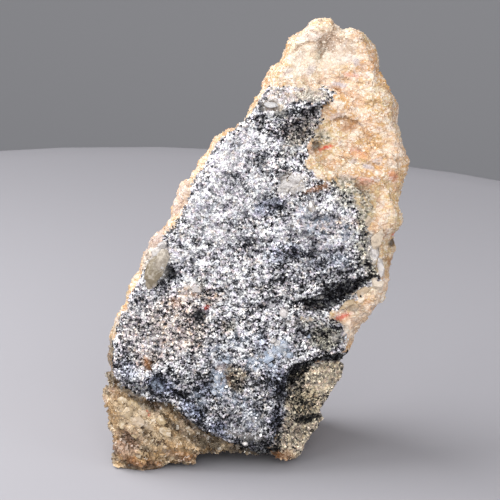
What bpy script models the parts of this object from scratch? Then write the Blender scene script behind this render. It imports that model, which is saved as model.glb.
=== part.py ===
# Sylvanite hand specimen: a leaning wedge of host rock with a thick ore layer grown into its front.
# Places are millimetres on the ore face: across to the right, up the face, and depth into the rock.
# The finished rock is leaned back, cut level at its feet and centred over its footprint.

import math

import bmesh
import bpy
from mathutils import Matrix, Vector, noise

MM = 0.001
NAME = "specimen"

# How the rock stands
FACE_LEAN = 10.0
FOOT_LEVEL = 0.0

# Depth of the wedge, front to back, at its foot and at its top
BASE_DEPTH = 34.0
TOP_DEPTH = 13.0
FACE_HEIGHT = 77.5

# The axis that the outlines shrink towards, from the foot to the top
AXIS_FOOT = (-7.0, 6.0)
AXIS_TOP = (11.0, 70.0)

# Finish of the mesh
ROUGH_VOXEL = 0.9
FINE_VOXEL = 0.55
TRIANGLES = 9400

# Host rock, clockwise from the top of the tip
HOST_OUTLINE = (
    (11.4, 76.5), (12.5, 75.8), (12.8, 74.9), (14.6, 75.7), (16.4, 75.8), (17.9, 75.1), (19.1, 73.7),
    (20.1, 72.1), (20.9, 69.6), (21.1, 66.6), (21.7, 64.4), (22.9, 62.8), (24.1, 60.1), (24.6, 57.4),
    (25.2, 54.8), (25.4, 51.3), (25.4, 47.1), (25.1, 44.4), (24.8, 42.2), (24.1, 41.6), (23.5, 39.0),
    (22.9, 37.2), (23.1, 34.6), (23.3, 32.0), (23.1, 29.5), (22.2, 28.4), (20.1, 27.7), (18.7, 25.8),
    (17.0, 23.4), (16.0, 21.4), (15.4, 19.6), (14.7, 17.2), (13.4, 14.6), (12.1, 11.7), (11.0, 8.6),
    (10.4, 6.2), (9.5, 3.8), (8.0, 1.9), (6.3, 0.9), (4.3, 1.7), (3.1, 2.7), (0.9, 3.0), (-2.2, 2.8),
    (-5.3, 2.8), (-8.2, 2.6), (-10.5, 2.3), (-13.8, 1.9), (-15.8, 1.3), (-18.3, 0.5), (-20.2, -0.4),
    (-21.4, 0.1), (-23.1, 1.2), (-24.7, 2.4), (-24.5, 5.5), (-24.1, 8.1), (-24.4, 10.2), (-24.8, 12.2),
    (-24.8, 14.3), (-24.5, 16.4), (-24.5, 19.5), (-24.2, 22.1), (-23.9, 25.2), (-23.3, 27.8),
    (-22.6, 30.5), (-21.5, 33.6), (-20.0, 36.7), (-18.2, 39.0), (-16.7, 41.3), (-15.2, 43.1),
    (-13.7, 46.1), (-12.5, 48.8), (-11.9, 49.8), (-10.7, 50.4), (-9.9, 52.0), (-8.4, 54.4),
    (-7.1, 56.2), (-4.8, 58.4), (-2.2, 59.6), (-0.3, 61.6), (0.6, 63.6), (1.2, 65.8), (2.1, 68.0),
    (3.6, 69.4), (4.7, 71.0), (5.7, 73.0), (7.2, 74.8), (8.5, 76.0), (10.0, 76.2),
)

# Depth of each host ring and how far its outline has shrunk towards the axis
HOST_RINGS = ((2.0, 0.90), (3.4, 0.965), (5.5, 1.0), (11.0, 0.985), (20.0, 0.95), (36.0, 0.91))

# Ore layer, clockwise from the left end of its top ledge
ORE_OUTLINE = (
    (1.0, 65.0), (2.2, 65.7), (7.5, 65.6), (11.4, 65.3), (12.9, 64.1), (11.6, 62.4), (10.5, 59.2),
    (8.5, 55.3), (10.5, 52.9), (15.1, 50.2), (18.4, 48.2), (20.4, 42.9), (21.4, 38.8), (21.3, 33.3),
    (12.6, 30.9), (6.1, 27.6), (10.5, 27.0), (14.8, 25.6), (15.7, 20.9), (14.8, 20.3), (10.5, 19.9),
    (7.0, 19.0), (5.0, 15.6), (4.1, 9.9), (2.7, 5.6), (0.4, 3.9), (-4.8, 5.4), (-8.4, 7.1),
    (-12.2, 9.8), (-14.2, 12.0), (-18.4, 12.7), (-21.0, 14.0), (-24.3, 16.9), (-24.3, 19.5),
    (-24.0, 22.1), (-23.1, 24.7), (-22.2, 28.1), (-21.0, 31.5), (-18.5, 35.5), (-16.6, 38.3),
    (-15.2, 40.3), (-12.6, 43.4), (-11.3, 45.7), (-10.5, 48.6), (-9.6, 51.9), (-8.2, 54.4),
    (-7.0, 56.0), (-4.7, 58.6), (-2.2, 60.0), (-0.6, 61.9), (0.3, 63.7),
)
ORE_RINGS = ((0.0, 0.955), (0.7, 0.985), (2.0, 1.0), (7.0, 0.97))

# Fracture faces of the back and sides: a point on each, then the direction it faces
BREAKS = (
    ((20.0, 17.0, 48.0), (0.80, 0.58, 0.14)),
    ((24.5, 10.0, 52.0), (0.96, 0.27, 0.05)),
    ((14.0, 26.0, 20.0), (0.72, 0.62, -0.10)),
    ((-16.0, 24.0, 22.0), (-0.72, 0.66, 0.20)),
    ((-23.0, 13.0, 16.0), (-0.93, 0.36, 0.06)),
    ((0.0, 15.5, 58.0), (-0.52, 0.80, 0.30)),
    ((11.0, 9.0, 75.0), (0.05, 0.72, 0.69)),
    ((17.0, 14.0, 61.0), (0.42, 0.86, 0.30)),
    ((-4.0, 33.0, 8.0), (-0.10, 0.90, -0.42)),
)

# Hollows cut into the front: corners of each as across, up, depth
HOLLOWS = {
    "facet_under_top_ledge": (
        (13.2, 63.2, -1.0), (5.0, 61.4, -1.0), (4.2, 57.2, -1.0), (5.0, 54.8, -1.0),
        (11.8, 62.0, 2.3), (9.6, 58.5, 2.4), (7.8, 56.0, 2.0), (13.4, 61.4, -1.0), (9.4, 54.8, -1.0),
    ),
    "upper_wedge": (
        (21.6, 34.2, -1.0), (16.8, 33.7, -1.0), (13.6, 33.2, -1.0), (11.6, 31.4, -1.0),
        (6.2, 29.9, -1.0), (8.8, 27.6, -1.0), (12.4, 27.5, -1.0), (15.0, 28.6, -1.0), (21.8, 32.8, -1.0),
        (9.4, 28.2, 2.4), (12.4, 28.6, 4.4), (14.4, 29.6, 5.0), (17.0, 31.4, 4.8), (19.6, 32.9, 3.6),
    ),
    "lower_wedge": (
        (16.8, 21.0, -1.0), (10.9, 20.2, -1.0), (9.0, 19.8, -1.0), (9.2, 18.0, -1.0),
        (16.5, 18.6, -1.0), (16.8, 20.4, 7.0), (10.9, 19.8, 6.0), (9.0, 18.8, 5.0), (12.0, 18.6, 4.4),
    ),
    "lower_wedge_tail": (
        (10.0, 20.0, -1.0), (6.2, 19.4, -1.0), (4.4, 17.4, -1.0), (4.2, 15.2, -1.0), (6.2, 13.8, -1.0),
        (8.4, 16.2, -1.0), (9.0, 18.4, 5.0), (7.2, 16.8, 4.8), (5.8, 15.2, 4.2),
    ),
    "lens_pit": (
        (-15.6, 35.6, -1.0), (-13.4, 35.4, -1.0), (-14.6, 32.4, -1.0), (-15.8, 32.0, -1.0),
        (-14.8, 34.4, 2.4), (-15.0, 33.2, 2.0),
    ),
    "rust_pit": (
        (-9.3, 29.2, -1.0), (-7.7, 29.0, -1.0), (-8.2, 27.4, -1.0), (-9.2, 27.2, -1.0), (-8.6, 28.2, 1.8),
    ),
    "ledge_pit": (
        (0.6, 63.4, -1.0), (2.3, 63.6, -1.0), (2.2, 61.9, -1.0), (1.0, 62.0, -1.0), (1.5, 62.8, 2.4),
    ),
    "host_pit": (
        (14.0, 59.8, -1.0), (16.4, 59.9, -1.0), (16.6, 57.4, -1.0), (14.4, 57.6, -1.0),
        (15.2, 58.9, 4.2),
    ),
    "tip_step": (
        (13.0, 77.6, -1.0), (10.4, 69.6, -1.0), (12.9, 77.4, 2.1), (10.5, 70.0, 1.5),
        (20.4, 76.6, 0.4), (17.4, 68.6, 0.4),
    ),
    "foot_notch": (
        (12.4, 10.0, -1.0), (7.6, 10.2, -1.0), (8.0, 8.6, -1.0), (12.4, 8.4, -1.0),
        (12.0, 9.6, 8.4), (8.4, 9.6, 5.4),
    ),
}

# Ledges broken out of the back
BACK_LEDGES = {
    "left_ledge": (
        (-40.0, 70.0, 15.0), (-4.0, 70.0, 12.5), (-1.0, 42.0, 19.0), (-40.0, 34.0, 16.0),
        (-40.0, 70.0, 60.0), (-4.0, 70.0, 60.0), (-1.0, 42.0, 60.0), (-40.0, 34.0, 60.0),
    ),
    "right_ledge": (
        (6.0, 30.0, 24.5), (40.0, 34.0, 15.0), (40.0, 8.0, 17.0), (9.0, 12.0, 29.0),
        (6.0, 30.0, 60.0), (40.0, 34.0, 60.0), (40.0, 8.0, 60.0), (9.0, 12.0, 60.0),
    ),
    "middle_step": (
        (-14.0, 30.0, 25.4), (4.0, 34.0, 24.4), (5.0, 22.0, 27.0), (-13.0, 18.0, 28.6),
        (-14.0, 30.0, 60.0), (4.0, 34.0, 60.0), (5.0, 22.0, 60.0), (-13.0, 18.0, 60.0),
    ),
}

# Soft forms of the host front: across, up, half width, half height, turn, push into the rock
HOST_FORMS = (
    (17.0, 69.5, 7.0, 9.5, 25.0, 0.5),
    (8.2, 72.5, 4.6, 6.5, -35.0, -0.2),
    (19.5, 62.0, 5.0, 2.4, 20.0, -0.7),
    (20.5, 57.0, 5.0, 2.2, 10.0, 0.5),
    (18.0, 51.5, 8.0, 7.0, 0.0, -1.9),
    (12.0, 54.8, 4.6, 5.6, 0.0, -1.6),
    (13.4, 61.0, 3.4, 3.0, 0.0, -0.8),
    (20.5, 41.5, 5.5, 9.5, 0.0, -2.2),
    (22.0, 34.0, 2.6, 3.6, 0.0, -0.9),
    (18.6, 29.4, 5.4, 3.0, 18.0, -2.2),
    (16.0, 24.0, 3.4, 4.0, 30.0, -1.0),
    (11.0, 14.0, 5.5, 7.5, -20.0, 2.6),
    (7.6, 6.0, 4.6, 5.0, 0.0, 3.6),
    (-18.5, 8.5, 8.5, 8.0, 0.0, -1.5),
    (-20.5, 9.5, 2.6, 3.4, 30.0, -0.7),
    (-15.4, 6.4, 2.8, 2.0, 10.0, -0.7),
    (-19.2, 3.4, 2.6, 1.8, 0.0, -0.5),
    (-7.5, 3.4, 6.0, 2.4, 5.0, 0.8),
    (-12.4, 47.0, 1.9, 3.6, -20.0, -0.4),
)

# Soft forms of the ore face
ORE_FORMS = (
    (-3.0, 36.0, 17.0, 17.0, 0.0, -0.9),
    (-8.5, 55.5, 5.5, 13.0, -42.0, 2.6),
    (0.0, 63.5, 4.0, 4.0, 0.0, 1.2),
    (8.0, 66.0, 8.0, 3.4, 0.0, 2.2),
    (4.5, 52.0, 7.0, 3.2, 20.0, -0.8),
    (-22.0, 24.0, 5.0, 13.0, -14.0, 1.6),
    (11.0, 23.5, 5.6, 4.4, 0.0, 1.2),
    (18.5, 40.0, 3.6, 8.0, 0.0, 1.0),
    (8.0, 34.0, 12.0, 2.2, 14.0, -1.0),
    (-5.0, 12.0, 5.0, 2.2, -32.0, -0.7),
    (-2.0, 17.5, 6.0, 3.4, 0.0, 0.7),
    (-0.8, 10.0, 1.2, 3.6, -32.0, -0.9),
    (-2.0, 5.8, 4.4, 1.8, 0.0, 1.4),
    (-1.7, 5.4, 0.9, 0.9, 0.0, -1.3),
    (5.9, 27.3, 1.0, 1.0, 0.0, -1.3),
    (-16.9, 35.6, 2.0, 3.4, -22.0, -0.8),
    (6.9, 49.9, 1.6, 2.2, 0.0, -0.5),
    (19.6, 39.3, 1.2, 2.6, -10.0, -0.8),
    (-10.0, 40.5, 8.0, 1.2, 16.0, 0.45),
    (1.0, 44.5, 9.0, 1.3, 16.0, 0.5),
    (-4.0, 29.5, 9.0, 1.2, 18.0, 0.5),
    (3.0, 38.0, 8.0, 1.1, 16.0, 0.4),
    (-14.0, 20.5, 6.0, 1.4, -20.0, 0.5),
    (-6.0, 23.5, 6.0, 1.2, 12.0, -0.4),
)

# Hollow under the rock that leaves its four feet: middle and half sizes, across, depth, up
BELLY = ((-5.6, 15.5, -4.4), (11.0, 30.0, 8.1))
BELLY_TURN = -3.0
SIDE_GAPS = (
    ((9.0, 18.0, -2.2), (6.0, 5.0, 4.0)),
    ((-20.0, 17.0, -2.0), (7.0, 8.0, 4.4)),
    ((-2.0, 33.0, -2.2), (7.5, 6.0, 4.0)),
)

# Broken surface: size of a facet, its tilt and its step as shares of that size
HOST_FACETS = ((7.5, 0.20, 0.10), (3.0, 0.16, 0.10))
ORE_FACETS = ((4.5, 0.10, 0.04), (1.9, 0.14, 0.07))
RAMP = 0.28
LUMP_SIZE = 9.0
LUMP_HEIGHT = 0.5

HOST_COLOUR = (0.60, 0.46, 0.34, 1.0)
ROUGHNESS = 0.72
METALLIC = 0.05


def clear_objects():
    for item in list(bpy.data.objects):
        bpy.data.objects.remove(item, do_unlink=True)


def add_object(name, bm):
    mesh = bpy.data.meshes.new(name)
    bm.to_mesh(mesh)
    bm.free()
    item = bpy.data.objects.new(name, mesh)
    bpy.context.scene.collection.objects.link(item)
    return item


def bake_modifiers(item):
    graph = bpy.context.evaluated_depsgraph_get()
    mesh = bpy.data.meshes.new_from_object(item.evaluated_get(graph))
    item.modifiers.clear()
    old = item.data
    item.data = mesh
    bpy.data.meshes.remove(old)


def axis_at(up):
    share = (up - AXIS_FOOT[1]) / (AXIS_TOP[1] - AXIS_FOOT[1])
    share = min(max(share, 0.0), 1.0)
    across = AXIS_FOOT[0] + share * (AXIS_TOP[0] - AXIS_FOOT[0])
    middle = AXIS_FOOT[1] + share * (AXIS_TOP[1] - AXIS_FOOT[1])
    return across, middle


# A closed solid through one outline that shrinks towards the axis from ring to ring
def loft(name, outline, rings):
    bm = bmesh.new()
    loops = []
    for depth, shrink in rings:
        loop = []
        for across, up in outline:
            mid_across, mid_up = axis_at(up)
            x = mid_across + (across - mid_across) * shrink
            z = mid_up + (up - mid_up) * shrink
            loop.append(bm.verts.new((x * MM, depth * MM, z * MM)))
        loops.append(loop)
    count = len(outline)
    for near, far in zip(loops, loops[1:]):
        for i in range(count):
            j = (i + 1) % count
            bm.faces.new((near[i], near[j], far[j], far[i]))
    bm.faces.new(loops[0])
    bm.faces.new(loops[-1])
    bmesh.ops.triangulate(bm, faces=[f for f in bm.faces if len(f.verts) > 4])
    bmesh.ops.recalc_face_normals(bm, faces=bm.faces)
    return add_object(name, bm)


def hull(name, corners):
    bm = bmesh.new()
    for across, up, depth in corners:
        bm.verts.new((across * MM, depth * MM, up * MM))
    result = bmesh.ops.convex_hull(bm, input=bm.verts)
    loose = [v for v in result["geom_interior"] if isinstance(v, bmesh.types.BMVert)]
    bmesh.ops.delete(bm, geom=loose, context="VERTS")
    bmesh.ops.recalc_face_normals(bm, faces=bm.faces)
    return add_object(name, bm)


def ellipsoid(name, middle, half, turn=0.0):
    bm = bmesh.new()
    bmesh.ops.create_icosphere(bm, subdivisions=4, radius=MM)
    scale = Matrix.Diagonal((half[0], half[1], half[2], 1.0))
    spin = Matrix.Rotation(math.radians(turn), 4, "Z")
    bm.transform(Matrix.Translation(Vector(middle) * MM) @ spin @ scale)
    return add_object(name, bm)


# Takes off what lies past a plane and closes the cut
def slice_off(item, point, facing):
    bm = bmesh.new()
    bm.from_mesh(item.data)
    result = bmesh.ops.bisect_plane(
        bm,
        geom=bm.verts[:] + bm.edges[:] + bm.faces[:],
        plane_co=Vector(point) * MM,
        plane_no=Vector(facing),
        clear_outer=True,
    )
    rim = [e for e in result["geom_cut"] if isinstance(e, bmesh.types.BMEdge)]
    bmesh.ops.holes_fill(bm, edges=rim)
    bmesh.ops.triangulate(bm, faces=[f for f in bm.faces if len(f.verts) > 3])
    bm.to_mesh(item.data)
    bm.free()


def carve(item, cutters):
    group = bpy.data.collections.new("cutters")
    bpy.context.scene.collection.children.link(group)
    for cutter in cutters:
        cutter.hide_render = True
        cutter.display_type = "WIRE"
        group.objects.link(cutter)
    step = item.modifiers.new("Carve", "BOOLEAN")
    step.operation = "DIFFERENCE"
    step.solver = "EXACT"
    step.operand_type = "COLLECTION"
    step.collection = group
    bake_modifiers(item)
    for cutter in cutters:
        bpy.data.objects.remove(cutter, do_unlink=True)
    bpy.data.collections.remove(group)


def join_meshes(name, items):
    bm = bmesh.new()
    for item in items:
        bm.from_mesh(item.data)
        bpy.data.objects.remove(item, do_unlink=True)
    return add_object(name, bm)


def remesh(item, voxel):
    step = item.modifiers.new("Remesh", "REMESH")
    step.mode = "VOXEL"
    step.voxel_size = voxel * MM
    bake_modifiers(item)


def falloff(distance):
    if distance >= 1.0:
        return 0.0
    rest = 1.0 - distance * distance
    return rest * rest


# Pushes the front in and out by soft round forms; deep places stay where they are
def press_forms(item, forms, reach=9.0):
    for vert in item.data.vertices:
        across, depth, up = (c / MM for c in vert.co)
        hold = min(max(1.0 - depth / reach, 0.0), 1.0)
        if hold == 0.0:
            continue
        push = 0.0
        for mid_across, mid_up, half_width, half_height, turn, amount in forms:
            angle = math.radians(turn)
            dx = across - mid_across
            dz = up - mid_up
            along = dx * math.cos(angle) + dz * math.sin(angle)
            side = dz * math.cos(angle) - dx * math.sin(angle)
            push += amount * falloff(math.hypot(along / half_width, side / half_height))
        vert.co.y += push * hold * MM


def inside(across, up, outline):
    found = False
    for (x1, z1), (x2, z2) in zip(outline, outline[1:] + outline[:1]):
        if (z1 > up) != (z2 > up) and across < x1 + (up - z1) / (z2 - z1) * (x2 - x1):
            found = not found
    return found


def facet_plane(point, centre, tilt, step):
    lean = noise.cell_vector(centre * 41.0)
    level = noise.cell(centre * 67.0 + Vector((5.3, 1.7, 9.1)))
    return (point - centre).dot(lean) * tilt + (level - 0.5) * step


# Height of a broken surface: flat tilted facets that meet in short ramps
def facet_height(point, size, tilt, step):
    spot = point / size
    distances, centres = noise.voronoi(spot)
    first = facet_plane(spot, centres[0], tilt, step)
    second = facet_plane(spot, centres[1], tilt, step)
    share = min((distances[1] - distances[0]) / RAMP, 1.0)
    return size * (first * (0.5 + 0.5 * share) + second * (0.5 - 0.5 * share))


def roughen(item):
    mesh = item.data
    moves = []
    for vert in mesh.vertices:
        point = vert.co / MM
        on_ore = point.y < 6.0 and vert.normal.y < -0.25 and inside(point.x, point.z, ORE_OUTLINE)
        facets = ORE_FACETS if on_ore else HOST_FACETS
        height = sum(facet_height(point, *facet) for facet in facets)
        if not on_ore:
            height += LUMP_HEIGHT * noise.noise(point / LUMP_SIZE)
        moves.append(vert.normal * (height * MM))
    for vert, move in zip(mesh.vertices, moves):
        vert.co += move


def make_host():
    host = loft("host", HOST_OUTLINE, HOST_RINGS)
    slice_off(host, (0.0, BASE_DEPTH, 0.0), (0.0, FACE_HEIGHT, BASE_DEPTH - TOP_DEPTH))
    for point, facing in BREAKS:
        slice_off(host, point, facing)
    remesh(host, ROUGH_VOXEL)
    press_forms(host, HOST_FORMS)
    return host


def make_ore():
    ore = loft("ore", ORE_OUTLINE, ORE_RINGS)
    remesh(ore, ROUGH_VOXEL)
    press_forms(ore, ORE_FORMS)
    return ore


def lean_matrix():
    return Matrix.Rotation(-math.radians(FACE_LEAN), 4, "X")


# The hollows lie on the leaning face; the gaps between the feet lie on the level ground
def make_cutters():
    cutters = [hull(name, corners) for name, corners in {**HOLLOWS, **BACK_LEDGES}.items()]
    gaps = [ellipsoid("belly", *BELLY, BELLY_TURN)]
    for middle, half in SIDE_GAPS:
        gaps.append(ellipsoid("side_gap", middle, half))
    for gap in gaps:
        gap.data.transform(lean_matrix().inverted())
    return cutters + gaps


def thin_out(item):
    item.data.calc_loop_triangles()
    step = item.modifiers.new("Decimate", "DECIMATE")
    step.ratio = min(1.0, TRIANGLES / len(item.data.loop_triangles))
    step.use_collapse_triangulate = True
    bake_modifiers(item)


def centre_footprint(item):
    xs = [v.co.x for v in item.data.vertices]
    ys = [v.co.y for v in item.data.vertices]
    middle = Vector(((min(xs) + max(xs)) / 2, (min(ys) + max(ys)) / 2, 0.0))
    item.data.transform(Matrix.Translation(-middle))


def stone_material():
    material = bpy.data.materials.new("stone")
    material.use_nodes = True
    shader = material.node_tree.nodes["Principled BSDF"]
    shader.inputs["Base Color"].default_value = HOST_COLOUR
    shader.inputs["Roughness"].default_value = ROUGHNESS
    shader.inputs["Metallic"].default_value = METALLIC
    return material


def main():
    clear_objects()
    rock = join_meshes("rock", [make_host(), make_ore()])
    remesh(rock, ROUGH_VOXEL)
    carve(rock, make_cutters())
    remesh(rock, FINE_VOXEL)
    roughen(rock)
    rock.data.transform(lean_matrix())
    thin_out(rock)
    slice_off(rock, (0.0, 0.0, FOOT_LEVEL), (0.0, 0.0, -1.0))
    centre_footprint(rock)
    rock.name = NAME
    rock.data.name = NAME
    rock.data.materials.clear()
    rock.data.materials.append(stone_material())


main()
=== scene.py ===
import math

import bmesh
import bpy
import numpy as np
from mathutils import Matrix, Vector, noise


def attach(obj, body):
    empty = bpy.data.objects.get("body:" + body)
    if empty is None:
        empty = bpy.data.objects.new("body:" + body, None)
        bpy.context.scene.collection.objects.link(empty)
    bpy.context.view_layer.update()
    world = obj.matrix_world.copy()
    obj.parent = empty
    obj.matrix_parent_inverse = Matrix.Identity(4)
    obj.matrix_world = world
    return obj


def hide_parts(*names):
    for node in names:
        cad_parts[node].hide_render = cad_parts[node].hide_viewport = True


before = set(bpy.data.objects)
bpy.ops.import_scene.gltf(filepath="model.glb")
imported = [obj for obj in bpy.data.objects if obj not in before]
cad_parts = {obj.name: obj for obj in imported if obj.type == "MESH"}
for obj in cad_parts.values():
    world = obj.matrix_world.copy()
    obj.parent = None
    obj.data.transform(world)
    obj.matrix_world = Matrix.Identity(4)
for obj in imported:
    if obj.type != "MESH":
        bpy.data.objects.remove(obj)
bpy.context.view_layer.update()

# Places on the rock are millimetres on the ore face: across to the right, up the face, depth into the rock
mm = 0.001
stance = {
    "lean": 10.0,                 # degrees the face leans back
    "footShift": (0.31, 17.28),   # from the face's corner to the middle of the footprint
}
farAway = 1e9                 # further than anything on the rock
noiseDrift = (1.0, 1.7, 0.6)  # direction in which a seed moves a noise
# How marks and lines fade, in shares of their half width
fade = {
    "spotWobble": 0.4,
    "spot": (0.6, 1.15),
    "line": (0.5, 1.6),
}


def toFace(points):
    lean = math.radians(stance["lean"])
    x = points[:, 0] / mm + stance["footShift"][0]
    y = points[:, 1] / mm + stance["footShift"][1]
    z = points[:, 2] / mm
    up = y * math.sin(lean) + z * math.cos(lean)
    depth = y * math.cos(lean) - z * math.sin(lean)
    return np.stack([x, up, depth], axis=1)


def clamp01(values):
    return np.clip(values, 0.0, 1.0)


def soft(values, low, high):
    share = clamp01((values - low) / (high - low))
    return share * share * (3.0 - 2.0 * share)


# Signed distance in mm to an outline, positive inside
def outlineDistance(across, up, outline):
    best = np.full(len(across), farAway)
    found = np.zeros(len(across), bool)
    for (x1, z1), (x2, z2) in zip(outline, outline[1:] + outline[:1]):
        dx, dz = x2 - x1, z2 - z1
        share = clamp01(((across - x1) * dx + (up - z1) * dz) / (dx * dx + dz * dz))
        gap = np.hypot(across - x1 - share * dx, up - z1 - share * dz)
        best = np.minimum(best, gap)
        if z1 != z2:
            crosses = (z1 > up) != (z2 > up)
            found ^= crosses & (across < x1 + (up - z1) / dz * dx)
    return np.where(found, best, -best)


# Soft ellipses: across, up, half width, half height, turn in degrees, strength
def spotShare(across, up, spots, wobble):
    total = np.zeros(len(across))
    for midAcross, midUp, halfWidth, halfHeight, turn, strength in spots:
        angle = math.radians(turn)
        dx, dz = across - midAcross, up - midUp
        along = dx * math.cos(angle) + dz * math.sin(angle)
        side = dz * math.cos(angle) - dx * math.sin(angle)
        reach = np.hypot(along / halfWidth, side / halfHeight) + wobble * fade["spotWobble"]
        total = np.maximum(total, strength * (1.0 - soft(reach, *fade["spot"])))
    return total


def noiseAt(points, size, seed):
    shift = Vector([seed * part for part in noiseDrift])
    return np.array([noise.noise(Vector(p) / size + shift) for p in points])
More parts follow.
